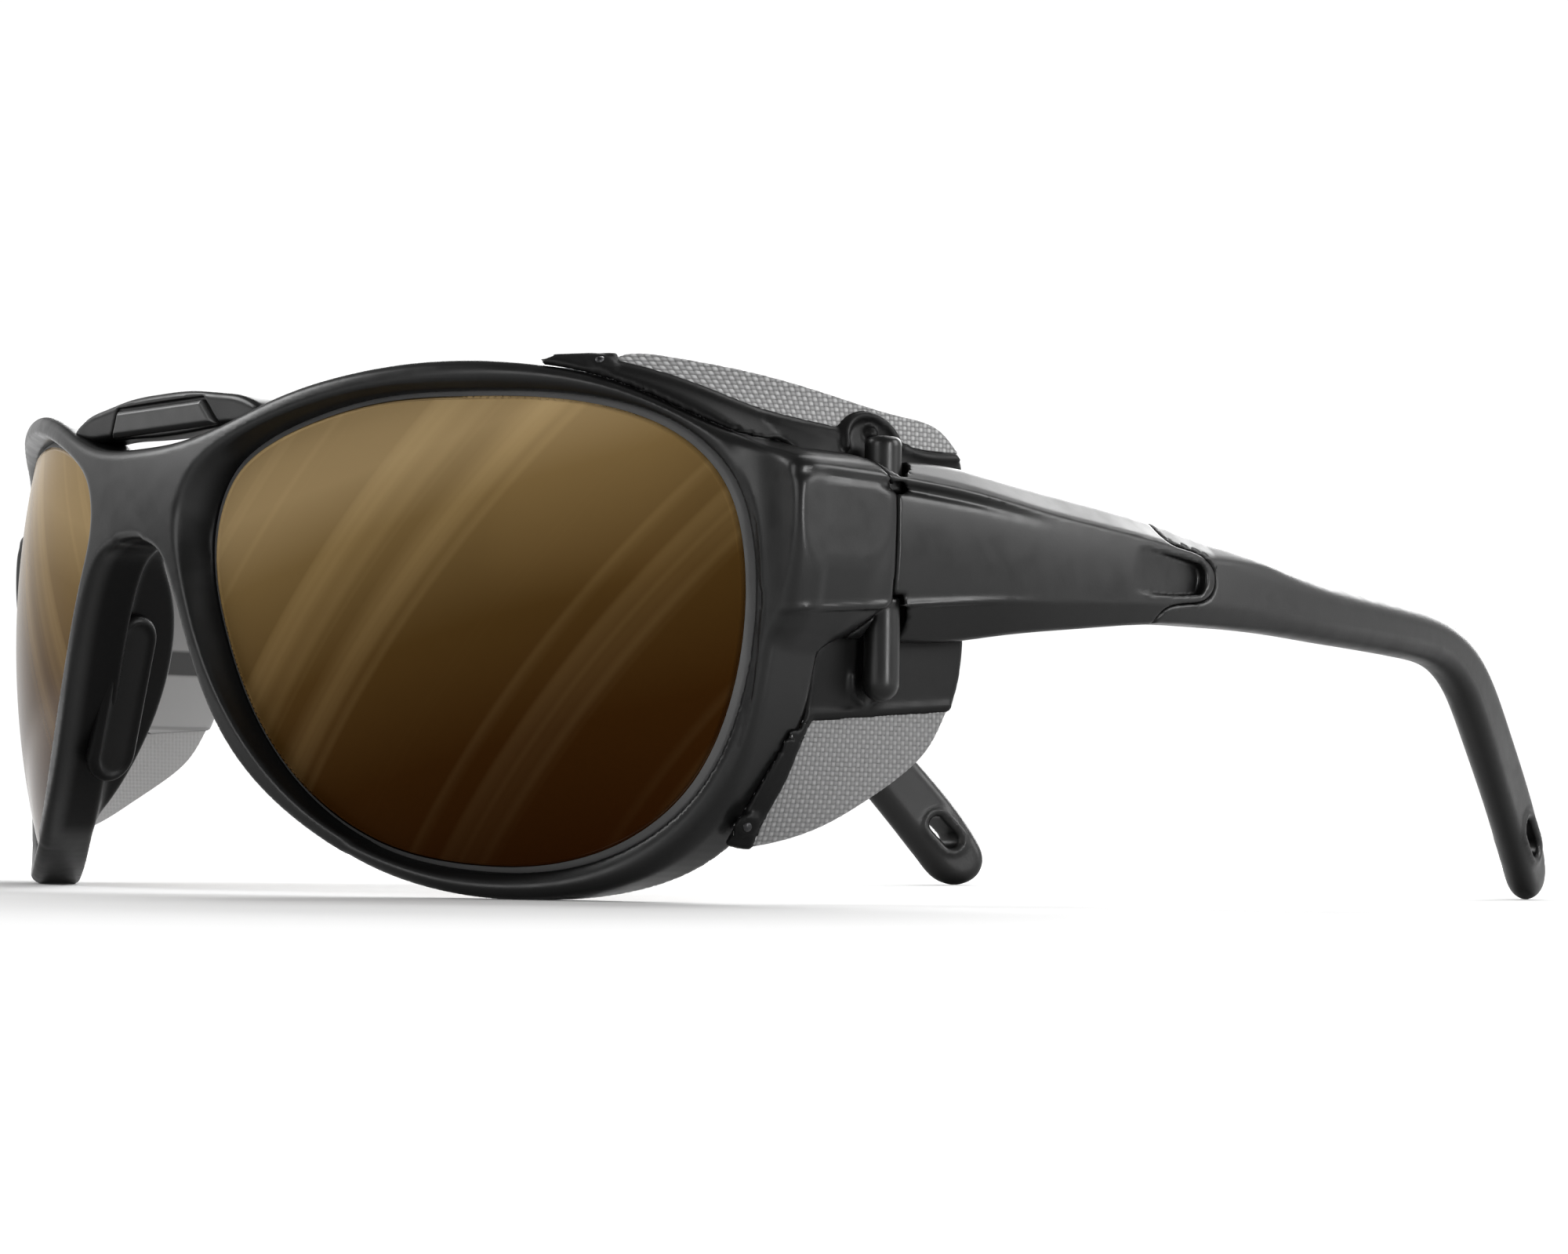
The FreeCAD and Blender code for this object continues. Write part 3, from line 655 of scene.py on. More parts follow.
def front_field(x, y, z):
    x = np.abs(x)
    front = round_min(sphere(x, y, z, RIM_RADIUS, RIM_CENTRE), 24.2 - y, 2.0)
    back = -sphere(x, y, z, BACK_RADIUS, BACK_CENTRE)
    lens_edge, lip = LENS_EDGE(x, z), LIP_EDGE(x, z)
    y_front = sphere_y(x, z, RIM_RADIUS, RIM_CENTRE)
    y_lens = sphere_y(x, z, LENS_RADIUS, LENS_CENTRE)
    solid = round_max(FRONT_EDGE(x, z), back, 0.6)
    end = side_section(x, y, z, 66.9)
    end = round_max(end, 24.2 - y, 2.8)
    end = round_max(end, 0.515 * (y - 34.6) - 0.858 * (x - 67.0), 0.15)
    solid = round_min(solid, end, 2.2)
    solid = round_max(solid, x - WIDEST, 0.12)
    solid = round_max(solid, -lens_edge, 0.3)
    shift = FLANK_SLANT * (y - FLANK_START)
    flank = round_max(FLANK_WALL(x - shift, z) * 0.97, FLANK_REAR(y + 0 * x, z + 0 * x), 0.8)
    flank = round_max(flank, -np.maximum(lens_edge, y - y_lens - 2.3), 0.2)
    solid = round_min(solid, flank, 1.2)
    solid = round_max(solid, front, 0.9)
    solid = round_max(solid, parting(y, z), 0.22)
    depth = np.maximum(y_lens - y_front, 0.4)
    t = np.clip((y - y_front) / depth, 0, 1) ** 0.8
    gap = lens_edge - lip
    funnel = ((1 - t) * lip + t * lens_edge) / np.sqrt(1 + (gap / depth) ** 2)
    bowl = np.maximum(funnel, y - y_lens - 0.8)
    solid = round_max(solid, -bowl, 0.35)
    room = post(x, y, z, HINGE_X, HINGE_Y, 28.65, 38.35, 1.8, 0.1)
    solid = round_max(solid, -room, 0.15)
    axis = np.sqrt((x - HINGE_X) ** 2 + (y - HINGE_Y) ** 2) - 1.75
    low_ear = np.maximum(capsule(x, y, z, HINGE_X, HINGE_Y, 20.6, 40.0, 1.75), z - 28.6)
    high_ear = round_max(round_max(axis, z - 43.7, 0.7), 38.4 - z, 0.1)
    return round_min(solid, np.minimum(low_ear, high_ear), 0.35)


FRONT_STEP = 0.34
verts, faces = moulded(front_field, (-72.4, -5.0, -1.0), (72.4, 38.6, 52.0), FRONT_STEP)
front = make_piece("front_frame_moulded", verts, faces, SATIN)
# Painted shade: the nook value marks the frame behind its front face round the nose, where the sheen is cut
# back to stand in for the shade in that recess.
behind = verts[:, 1] - sphere_y(np.abs(verts[:, 0]), verts[:, 2], RIM_RADIUS, RIM_CENTRE)
nook = smooth_step((behind - 1.1) / 1.6) * smooth_step((27 - np.abs(verts[:, 0])) / 3)
nook = nook * smooth_step((44 - verts[:, 2]) / 2)
front.data.attributes.new("nook", "FLOAT", "POINT").data.foreach_set("value", nook)
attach(front, "front")
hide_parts("front_frame")

# ---------------------------------------------------------------- lenses

LENS_MIDDLE = (38.3, 25.3)


def lens_rings():
    """Share of the way from the middle to the edge of each ring of vertices."""
    return np.linspace(0.012, 0.96, 56)


def on_sphere(ring, radius, sink=0.0):
    """A ring of (x, z) laid on a lens face, then sunk back into it."""
    x, z = ring[:, 0], ring[:, 1]
    return np.c_[x, sphere_y(x, z, radius, LENS_CENTRE) + sink, z]


def lens_mesh():
    """A spherical shell in rings round its middle, its edge bevelled front and back."""
    loop = spline(LENS_LOOP, True, 18)
    middle = np.array(LENS_MIDDLE)
    out = loop - middle
    reach = np.linalg.norm(out, axis=1)[:, None]
    rim = middle + out * (reach + 0.5) / reach
    count = len(rim)
    rows = []
    for radius in (LENS_RADIUS, LENS_RADIUS - LENS_THICK):
        rings = [middle + (rim - middle) * share for share in lens_rings()]
        rows.append([on_sphere(ring, radius) for ring in rings])
    front, rear = rows
    inner = middle + out * (reach - 0.75) / reach
    bevel = []
    for share, sink in ((0.0, 0.0), (0.08, 0.03), (0.5, 0.22), (0.92, 0.42), (1.0, 0.52)):
        ring = inner * (1 - share) + rim * share
        bevel.append(on_sphere(ring, LENS_RADIUS, sink))
    edge_rear = np.c_[rim[:, 0], bevel[-1][:, 1] + 1.2, rim[:, 1]]
    border = len(front) * count, (len(front) + len(bevel) - 1) * count
    all_rows = front + bevel + [edge_rear] + rear[::-1]
    verts = np.vstack(all_rows)
    faces = grid_faces(len(all_rows), count, wrap=True)
    for first, flip in ((0, True), ((len(all_rows) - 1) * count, False)):
        centre = len(verts)
        verts = np.vstack([verts, verts[first : first + count].mean(0)])
        ring = [(first + k, first + (k + 1) % count) for k in range(count)]
        faces += [(centre, b, a) if flip else (centre, a, b) for a, b in ring]
    return verts, faces, border


lens_verts, lens_faces, lens_border = lens_mesh()
for side_name, sign in SIDES.items():
    lens = make_piece("lens_mirror_" + side_name, lens_verts, lens_faces, LENS, sign)
    # Its bevel faces get the pale grey painted highlight.
    lens.data.materials.append(LENS_BEVEL_HIGHLIGHT)
    for face in lens.data.polygons:
        if lens_border[0] <= min(face.vertices) < lens_border[1]:
            face.material_index = 1
    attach(lens, "front")
    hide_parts("lens_" + side_name)

# ---------------------------------------------------------------- brow bar and plate

BAR_HALF = [
    (0.0, 50.1), (6.0, 49.95), (11.5, 49.3), (16.0, 48.3), (17.6, 47.2), (16.0, 46.3), (12.0, 46.1),
    (6.0, 46.0),
]
BAR_EDGE = outline(spline(both_sides(BAR_HALF), True, 10), step=0.1)
PLATE_CORNERS = [(-9.9, 46.3), (9.9, 46.3), (8.0, 48.9), (-8.0, 48.9)]
PLATE_EDGE = outline(PLATE_CORNERS, step=0.1)


def bar_field(x, y, z):
    edge = BAR_EDGE(x, z)
    lean = 0.2 * (z - 46.3)
    band = np.maximum(0.9 - lean - y, y - 5.0)
    bar = round_max(edge, band, 0.8)
    recess = np.maximum(PLATE_EDGE(x, z) - 0.35, y - 1.3 + lean)
    return round_max(bar, -recess, 0.15)


def plate_field(x, y, z):
    edge = PLATE_EDGE(x, z)
    face = 0.5 - 0.2 * (z - 46.3) - y
    bevel = (face + edge + 0.42) * 0.707
    return round_max(round_max(round_max(edge, face, 0.12), bevel, 0.12), y - 1.5, 0.1)


bar_mesh = moulded(bar_field, (-19.0, -0.8, 45.0), (19.0, 6.0, 51.0), 0.22)
bar = make_piece("brow_bar_moulded", *bar_mesh, SATIN)
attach(bar, "front")
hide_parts("brow_bar")
plate_mesh = moulded(plate_field, (-11.0, -0.8, 45.5), (11.0, 2.2, 49.6), 0.14)
plate = make_piece("brow_plate_blank", *plate_mesh, PLATE_SATIN)
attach(plate, "front")
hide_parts("brow_plate")

# ---------------------------------------------------------------- nose pads

PAD_MIDDLE = np.array((13.4, 5.2, 19.6))
PAD_ALONG = np.array((0.31, 0.0, -0.95))
PAD_ACROSS = np.array((0.215, 0.977, 0.0))


def pad_axes():
    along = PAD_ALONG / np.linalg.norm(PAD_ALONG)
    out = np.cross(PAD_ACROSS, along)
    out /= np.linalg.norm(out)
    return along, np.cross(out, along), out


def pad_field(a, b, c):
    """A soft pad lying flat: a along it, b across it and c out of the flank."""
    half = 6.0
    edge = np.sqrt(np.maximum(np.abs(a) - half, 0) ** 2 + b * b) - 3.0
    dome = 0.3 - 0.12 * (b / 3) ** 2
    border = 0.32 * np.exp(-(((edge + 0.62) / 0.42) ** 2))
    top = c - dome - border
    return round_max(round_max(edge, top, 0.35), -0.8 - c, 0.2)


along, across, out = pad_axes()
pad_verts, pad_faces = moulded(pad_field, (-9.6, -3.6, -1.2), (9.6, 3.6, 1.4), 0.2)
pad_verts = PAD_MIDDLE + (pad_verts - (0, 0, 0.3)) @ np.stack([along, across, out])
for side_name, sign in SIDES.items():
    pad = make_piece("nose_pad_soft_" + side_name, pad_verts, pad_faces, PAD_RUBBER, sign)
    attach(pad, "front")
    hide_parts("nose_pad_" + side_name)

# ---------------------------------------------------------------- temples

ARM_REGION = outline(
    runs(
        [(28.0, 52.0), (76.0, 52.0)],
        [(76.0, 52.0), (73.3, 38.6)],
        [(73.3, 38.6), (73.9, 36.4), (76.2, 35.5), (79.9, 34.7), (81.5, 33.2), (81.1, 31.4), (78.8, 30.2),
         (75.2, 29.8), (73.2, 28.9), (72.5, 27.4)],
        [(72.5, 27.4), (71.5, 18.0)],
        [(71.5, 18.0), (28.0, 18.0)],
        [(28.0, 18.0), (28.0, 52.0)],
    )
)
TIP_SIDE = outline(
    runs(
        [(66.0, 39.0), (73.6, 38.05), (81.7, 36.5), (90.0, 35.2), (103.7, 33.5), (121.5, 32.3), (131.0, 31.2),
         (137.5, 29.0), (142.5, 25.8), (147.6, 21.0), (152.5, 15.8), (156.8, 10.8), (159.9, 6.3),
         (160.9, 3.4), (159.9, 1.0), (157.6, 0.0), (155.2, 0.6), (152.9, 2.9), (148.6, 8.2), (144.0, 13.6),
         (139.3, 19.0), (135.2, 23.0), (130.2, 25.5), (122.0, 26.6), (103.8, 27.3), (88.7, 27.8),
         (80.0, 27.9), (72.3, 27.7), (66.0, 27.2)],
        [(66.0, 27.2), (66.0, 39.0)],
    )
)
POCKET = outline(
    runs(
        [(68.6, 35.2), (75.0, 34.6), (79.2, 34.1)],
        [(79.2, 34.1), (80.0, 33.4), (79.7, 31.5), (79.2, 31.0)],
        [(79.2, 31.0), (75.0, 30.7), (68.6, 30.8)],
        [(68.6, 30.8), (68.6, 35.2)],
    ),
    step=0.1,
)
TIP_OUTER, TIP_INNER = 71.1, 66.3
SLOT_MIDDLE, SLOT_TILT = (154.6, 7.2), math.radians(-46)
SLOT_HALF, SLOT_RADIUS = 1.4, 1.1
KNUCKLE_LOW, KNUCKLE_HIGH = 28.86, 38.14
EAR_CLEARANCE, KNUCKLE_RADIUS, PARTING_GAP = 2.35, 1.5, 0.24


def cord_slot(y, z):
    """Distance outside the cord slot, seen from the side."""
    u = (y - SLOT_MIDDLE[0]) * math.cos(SLOT_TILT) + (z - SLOT_MIDDLE[1]) * math.sin(SLOT_TILT)
    v = (z - SLOT_MIDDLE[1]) * math.cos(SLOT_TILT) - (y - SLOT_MIDDLE[0]) * math.sin(SLOT_TILT)
    return np.sqrt(np.maximum(np.abs(u) - SLOT_HALF, 0) ** 2 + v * v) - SLOT_RADIUS


def arm_field(x, y, z):
    body = side_section(x, y, z, TEMPLE_INNER - splay(y))
    body = round_max(body, 0.16 - parting(y, z), 0.22)
    body = round_max(body, ARM_REGION(y + 0 * x, z + 0 * x), 0.18)
    floor = SIDE_FACE - splay(y) - 0.12 * np.clip(y - 69.3, -5, 11)
    pocket = round_max(POCKET(y + 0 * x, z + 0 * x), floor - x, 0.12)
    body = round_max(body, -pocket, 0.16)
    line = y - parting(y, z)
    from_hinge = np.hypot(x - HINGE_X, y - HINGE_Y)
    corner = from_hinge - np.maximum(HINGE_Y - line - PARTING_GAP, KNUCKLE_RADIUS)
    swing = np.where((x < HINGE_X) & (y < HINGE_Y), corner, -1.0)
    body = round_max(body, swing, 0.1)
    barrel = post(x, y, z, HINGE_X, HINGE_Y, 28.9, 38.1, KNUCKLE_RADIUS, 0.2)
    body = round_min(body, barrel, 0.2)
    ears = np.maximum(from_hinge - EAR_CLEARANCE, np.minimum(z - KNUCKLE_LOW, KNUCKLE_HIGH - z))
    return round_max(body, -ears, 0.15)


def tip_field(x, y, z):
    middle = (TIP_OUTER + TIP_INNER) / 2 - splay(y)
    lean = 2 * SPLAY * np.maximum(0, y - SPLAY_START)
    half = (TIP_OUTER - TIP_INNER) / 2
    edge = cord_slot(y, z)
    ring = 0.3 * np.exp(-(((edge - 0.75) / 0.4) ** 2))
    band = np.abs(x - middle) - half + 0.25 * smooth_step((y - 138) / 12) - ring
    band = band / np.sqrt(1 + lean * lean)
    profile = TIP_SIDE(y + 0 * x, z + 0 * x)
    stadium = round_max(profile, band, 2.1)
    squared = round_max(side_section(x, y, z, TIP_INNER - splay(y)), profile, 0.3)
    mix = smooth_step((y - 78) / 26)
    body = squared * (1 - mix) + stadium * mix
    body = round_max(body, -ARM_REGION(y + 0 * x, z + 0 * x) + 0.07, 0.18)
    return round_max(body, -edge, 0.3)


arm_mesh = moulded(arm_field, (64.5, 30.0, 23.5), (72.4, 83.0, 43.0), 0.27)
tip_mesh = moulded(tip_field, (45.0, 70.0, -1.0), (72.4, 162.5, 40.0), 0.38)
for side_name, sign in SIDES.items():
    arm = make_piece("temple_arm_moulded_" + side_name, *arm_mesh, CHARCOAL, sign)
    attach(arm, "temple_" + side_name)
    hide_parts("temple_arm_" + side_name)
    tip = make_piece("temple_tip_soft_" + side_name, *tip_mesh, TIP_RUBBER, sign)
    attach(tip, "temple_" + side_name)
    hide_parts("temple_tip_" + side_name)

# ---------------------------------------------------------------- temple cores and hinge screws

CORE_SIDE = outline(
    runs(
        [(66.0, 34.4), (90.0, 32.6), (121.5, 30.2), (132.0, 28.8), (139.0, 25.4), (146.5, 18.0)],
        [(146.5, 18.0), (145.0, 16.6)],
        [(145.0, 16.6), (138.0, 23.6), (131.0, 26.8), (121.5, 28.2), (90.0, 30.4), (66.0, 31.6)],
        [(66.0, 31.6), (66.0, 34.4)],
    )
)


def core_field(x, y, z):
    middle = 68.95 - splay(y) + 0.006 * (y - SPLAY_START)
    lean = 2 * SPLAY * np.maximum(0, y - SPLAY_START)
    band = (np.abs(x - middle) - 0.62) / np.sqrt(1 + lean * lean)
    return round_max(CORE_SIDE(y + 0 * x, z + 0 * x) + 0.1, band, 0.25)


def screw_field(x, y, z):
    """A hinge screw about the z axis, with a cross recess in its head."""
    r = np.sqrt(x * x + y * y)
    shank = round_max(r - 0.68, np.maximum(21.05 - z, z - 43.2), 0.15)
    head = round_max(r - 1.17, np.maximum(42.7 - z, z - 43.58), 0.18)
    one_slot = np.maximum(np.abs(x) - 0.16, np.abs(y) - 0.75)
    other_slot = np.maximum(np.abs(y) - 0.16, np.abs(x) - 0.75)
    cross = np.minimum(one_slot, other_slot)
    cross = np.maximum(cross, 43.1 - z)
    return round_max(np.minimum(shank, head), -cross, 0.05)


core_mesh = moulded(core_field, (51.0, 64.5, 10.5), (70.5, 149.0, 35.6), 0.4)
screw_verts, screw_faces = moulded(screw_field, (-1.5, -1.5, 20.6), (1.5, 1.5, 44.0), 0.11)
screw_verts = screw_verts + (HINGE_X, HINGE_Y, 0)
for side_name, sign in SIDES.items():
    core = make_piece("temple_core_strip_" + side_name, *core_mesh, STEEL, sign)
    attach(core, "temple_" + side_name)
    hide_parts("temple_core_" + side_name)
    screw = make_piece("hinge_screw_turned_" + side_name, screw_verts, screw_faces, BLACK_STEEL, sign)
    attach(screw, "front")
    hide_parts("hinge_screw_" + side_name)

# ---------------------------------------------------------------- side shields

SHIELD_FRONT_X = [
    (3.5, 60.0), (9.0, 63.6), (15.0, 66.0), (22.0, 67.4), (30.0, 67.6), (37.0, 67.0), (41.0, 65.6),
    (45.0, 61.3), (48.5, 54.8), (52.5, 43.0),
]
SHIELD_FRONT_Y = [
    (3.5, 23.0), (9.0, 24.5), (15.0, 26.0), (22.0, 27.4), (30.0, 28.0), (37.0, 27.0), (41.0, 25.0),
    (45.0, 21.5), (48.5, 17.5), (52.5, 11.5),
]
SHIELD_SIDE = outline(
    runs(
        [(12.9, 50.5), (14.6, 51.1), (18.4, 51.25), (21.6, 51.1), (27.1, 49.9), (33.6, 48.1), (41.8, 46.3),
         (46.8, 45.2), (48.9, 43.3), (49.8, 40.0), (50.1, 33.0), (49.9, 25.0), (49.3, 21.0), (48.0, 18.0),
         (45.5, 14.7), (42.1, 12.0), (37.5, 9.3), (33.3, 7.1), (29.6, 5.7), (26.4, 5.0), (24.6, 5.4)],
        [(24.6, 5.4), (25.4, 9.0), (28.0, 17.0), (28.6, 28.0), (27.6, 36.0), (24.4, 43.0), (18.4, 48.0),
         (12.9, 50.5)],
    )
)
UPPER_SIDE = runs(
    [(17.6, 50.4), (18.4, 51.4), (19.6, 52.6), (33.6, 49.6), (41.8, 47.7), (47.9, 46.6), (50.8, 43.3)],
    [(50.8, 43.3), (48.8, 43.1), (42.2, 43.5), (40.3, 44.5), (38.2, 46.0), (36.0, 45.7), (34.5, 44.5)],
    [(34.5, 44.5), (29.0, 45.4), (25.7, 46.4), (23.0, 47.8), (20.6, 49.1), (17.6, 50.4)],
)
LOWER_SIDE = runs(
    [(30.3, 17.1), (34.7, 17.4), (41.9, 18.0), (50.2, 18.6)],
    [(50.2, 18.6), (46.6, 13.8), (42.8, 10.9), (38.0, 8.2), (33.6, 5.9), (29.8, 4.5), (26.5, 3.6)],
    [(26.5, 3.6), (27.2, 8.3), (28.4, 11.5), (29.4, 14.9), (30.3, 17.1)],
)
UPPER_EDGE, LOWER_EDGE = outline(UPPER_SIDE, step=0.1), outline(LOWER_SIDE, step=0.1)
SEAT_TOP = 51.15
RING = spline([(34.9, 42.8), (35.2, 44.6), (36.5, 45.8), (38.3, 45.9), (40.3, 44.7), (41.3, 43.2)], per=6)


def skin_x(y, z):
    """The outer face of a shield."""
    front_x, front_y = level(z, *SHIELD_FRONT_X), level(z, *SHIELD_FRONT_Y)
    return 66 - (66 - front_x) * (np.maximum(48 - y, 0) / (48 - front_y)) ** 2


def skin_slopes(y, z, eps=0.05):
    along = (skin_x(y + eps, z) - skin_x(y - eps, z)) / (2 * eps)
    upward = (skin_x(y, z + eps) - skin_x(y, z - eps)) / (2 * eps)
    return along, upward


def skin_depth(x, y, z):
    """Distance outside a shield's outer face."""
    along, upward = skin_slopes(y, z)
    return (x - skin_x(y, z)) / np.sqrt(1 + along**2 + upward**2)


def distance_to_line(points, y, z):
    best = 1e9
    for (ay, az), (by, bz) in zip(points[:-1], points[1:]):
        dy, dz = by - ay, bz - az
        t = np.clip(((y - ay) * dy + (z - az) * dz) / (dy * dy + dz * dz), 0, 1)
        best = np.minimum(best, np.hypot(y - ay - t * dy, z - az - t * dz))
    return best


def shield_field(x, y, z):
    depth = skin_depth(x, y, z)
    edge = SHIELD_SIDE(y + 0 * x, z + 0 * x)
    upper, lower = UPPER_EDGE(y + 0 * x, z + 0 * x), LOWER_EDGE(y + 0 * x, z + 0 * x)
    weave = np.minimum(upper, lower)
    border = 0.18 * np.exp(-(((weave - 0.45) / 0.35) ** 2))
    shell = np.abs(depth + 0.5 - border / 2) - 0.5 - border / 2
    body = round_max(shell, edge, 0.32)
    beside = FRONT_EDGE(x, z)
    slope = np.maximum(depth, 46.8 - x + 0.9 * (z - 50.0))
    seat = np.maximum(slope, np.maximum(beside - 2.2, -0.4 - beside))
    seat = np.maximum(seat, z - SEAT_TOP)
    ahead = sphere_y(x, z, RIM_RADIUS, RIM_CENTRE) + 0.9
    seat = np.maximum(np.maximum(seat, ahead - y), np.maximum(y - ahead - 3.2, 41.5 - z))
    body = round_min(body, seat, 0.3)
    body = round_max(body, -weave - 0.18, 0.12)
    ring = np.hypot(distance_to_line(RING, y, z), depth - 0.15) - 0.42
    body = round_min(body, ring, 0.2)
    dome = np.sqrt((y - 38.0) ** 2 + (z - 44.3) ** 2 + (depth + 0.1) ** 2) - 0.75
    body = round_min(body, dome, 0.15)
    cup = np.abs(np.hypot(y - HINGE_Y, np.maximum(20.8 - z, 0)) - 2.15)
    cup = round_max(np.hypot(cup, depth - 0.05) - 0.34, z - 21.6, 0.2)
    body = round_min(body, cup, 0.25)
    tab = round_max(np.hypot(y - 16.4, z - 50.3) - 0.9, np.abs(depth - 0.05) - 0.3, 0.25)
    body = round_min(body, tab, 0.3)
    foot = round_max(np.hypot(y - 25.4, z - 7.2) - 1.1, np.abs(depth - 0.05) - 0.35, 0.25)
    body = round_min(body, foot, 0.3)
    ears = np.maximum(np.sqrt((x - HINGE_X) ** 2 + (y - HINGE_Y) ** 2) - 1.84, 18.4 - z)
    body = round_max(body, -ears, 0.12)
    return round_max(body, 0.08 - front_field(x, y, z), 0.25)


def yarn_height(y, z, pitch_y=0.50, pitch_z=0.44):
    """Plain weave: 0 in the gaps between yarns, 1 on top of a yarn."""
    u, v = y / pitch_y, z / pitch_z
    du, dv = u - np.floor(u) - 0.5, v - np.floor(v) - 0.5
    over = (np.floor(u) + np.floor(v)) % 2 < 1
    upright = np.sqrt(np.maximum(1 - (2 * du) ** 2, 0)) * (0.55 + 0.45 * np.cos(math.pi * dv))
    level_yarn = np.sqrt(np.maximum(1 - (2 * dv) ** 2, 0)) * (0.55 + 0.45 * np.cos(math.pi * du))
    return np.where(over, upright, 0.9 * level_yarn), over


def woven_panel(flat, shade, sink=0.12, thick=0.45, rise=0.11):
    """A woven sheet over the shield's skin, on a grid of (y, z)."""
    rows, cols = flat.shape[:2]
    y, z = flat[..., 0], flat[..., 1]
    along, upward = skin_slopes(y, z)
    length = np.sqrt(1 + along**2 + upward**2)
    normal = np.stack([1 / length, -along / length, -upward / length], -1)
    skin = np.stack([skin_x(y, z), y, z], -1)
    height, over = yarn_height(y, z)
    top = skin + normal * (rise * height - sink - rise)[..., None]
    bottom = skin + normal * (-sink - thick - rise * 0.6 * height)[..., None]
    verts = np.vstack([top.reshape(-1, 3), bottom.reshape(-1, 3)])
    faces = [f[::-1] for f in grid_faces(rows, cols)]
    shift = rows * cols
    faces += [tuple(k + shift for k in f[::-1]) for f in faces]
    around = list(range(cols)) + [r * cols + cols - 1 for r in range(1, rows)]
    around += [(rows - 1) * cols + c for c in range(cols - 2, -1, -1)]
    around += [r * cols for r in range(rows - 2, 0, -1)]
    faces += [(a, b, b + shift, a + shift) for a, b in zip(around, around[1:] + around[:1])]
    # Painted light and shade: the tone is scaled by each sheet's shade and falls off into the gaps between
    # the yarns.
    tone = shade * height * np.where(over, 1.0, 0.72)
    return verts, faces, np.concatenate([tone.ravel(), tone.ravel()])


def spread(points, count, per=40):
    """The same line as evenly spaced points."""
    line = spline(points, per=per)
    run = np.concatenate([[0], np.cumsum(np.linalg.norm(np.diff(line, axis=0), axis=1))])
    at = np.linspace(0, run[-1], count)
    return np.stack([np.interp(at, run, line[:, 0]), np.interp(at, run, line[:, 1])], 1)


def ruled(low_line, high_line, rows, cols):
    """A grid of points, rows by cols, between two lines."""
    low, high = spread(low_line, cols), spread(high_line, cols)
    share = np.linspace(0, 1, rows)[:, None, None]
    return low[None] * (1 - share) + high[None] * share


UPPER_LOW = [
    (17.9, 50.5), (20.6, 49.1), (23.0, 47.8), (25.7, 46.4), (29.0, 45.4), (33.0, 44.7), (34.9, 45.0),
    (36.3, 45.9), (38.2, 46.0), (40.2, 44.8), (42.2, 43.6), (45.5, 43.2), (48.9, 43.1),
]
UPPER_HIGH = [
    (17.9, 50.9), (18.6, 51.2), (22.0, 51.0), (27.1, 49.8), (33.6, 48.0), (41.8, 46.2), (46.7, 45.1),
    (48.9, 43.3),
]
LOWER_FRONT = [(26.7, 5.3), (27.2, 8.3), (28.4, 11.5), (29.4, 14.9), (30.3, 17.1)]
LOWER_REAR = [(26.9, 5.2), (29.6, 5.85), (33.3, 7.2), (37.5, 9.4), (42.1, 12.1), (45.5, 14.8), (47.9, 18.5)]


shield_mesh = moulded(shield_field, (38.0, 11.0, 3.5), (70.5, 51.5, 53.5), 0.36)
upper_grid = ruled(UPPER_LOW, UPPER_HIGH, 60, 460)[:, ::-1]
lower_grid = ruled(LOWER_FRONT, LOWER_REAR, 250, 170)
# The upper sheet is painted lighter and the lower darker, as painted light and shade for how light falls on
# them.
woven = {"upper": woven_panel(upper_grid, 1.05), "lower": woven_panel(lower_grid, 0.62)}
peg_spots = {"top": (16.4, 50.3), "foot": (25.4, 7.2)}


def peg_field(x, y, z):
    """Two domed peg heads on the outside of a shield, with their shanks."""
    best = 1e9
    for py, pz in peg_spots.values():
        px = float(skin_x(np.array(py), np.array(pz)))
        r = np.hypot(y - py, z - pz)
        shank = round_max(r - 0.5, np.abs(x - px + 0.9) - 1.1, 0.1)
        head = round_max(np.sqrt(r * r + (x - px + 0.1) ** 2) - 0.7, px + 0.15 - x, 0.1)
        best = np.minimum(best, np.minimum(shank, head))
    return best


def line_inside(thing, sign):
    """Gives the faces that look inwards, towards the wearer's head, the pale lining."""
    thing.data.materials.append(SHIELD_LINING)
    normals = np.zeros(len(thing.data.polygons) * 3)
    thing.data.polygons.foreach_get("normal", normals)
    inward = normals.reshape(-1, 3)[:, 0] * sign < -0.45
    thing.data.polygons.foreach_set("material_index", inward.astype(np.int32))


peg_mesh = moulded(peg_field, (46.0, 14.5, 5.0), (66.0, 27.5, 52.2), 0.18)
for side_name, sign in SIDES.items():
    shell = make_piece("side_shield_soft_" + side_name, *shield_mesh, SHIELD_BLACK, sign)
    line_inside(shell, sign)
    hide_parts("side_shield_" + side_name)
    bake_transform(shell)
    for level_name, (w_verts, w_faces, w_height) in woven.items():
        panel = make_piece("shield_" + level_name + "_weave_" + side_name, w_verts, w_faces, WOVEN, sign)
        yarn = panel.data.attributes.new("yarn", "FLOAT", "POINT")
        yarn.data.foreach_set("value", w_height)
        line_inside(panel, sign)
        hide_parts("shield_" + level_name + "_panel_" + side_name)
        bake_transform(panel)
    pegs = make_piece("shield_pegs_domed_" + side_name, *peg_mesh, BLACK_STEEL, sign)
    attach(pegs, "front")
    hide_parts("shield_pegs_" + side_name)

# ---------------------------------------------------------------- camera, floor and light


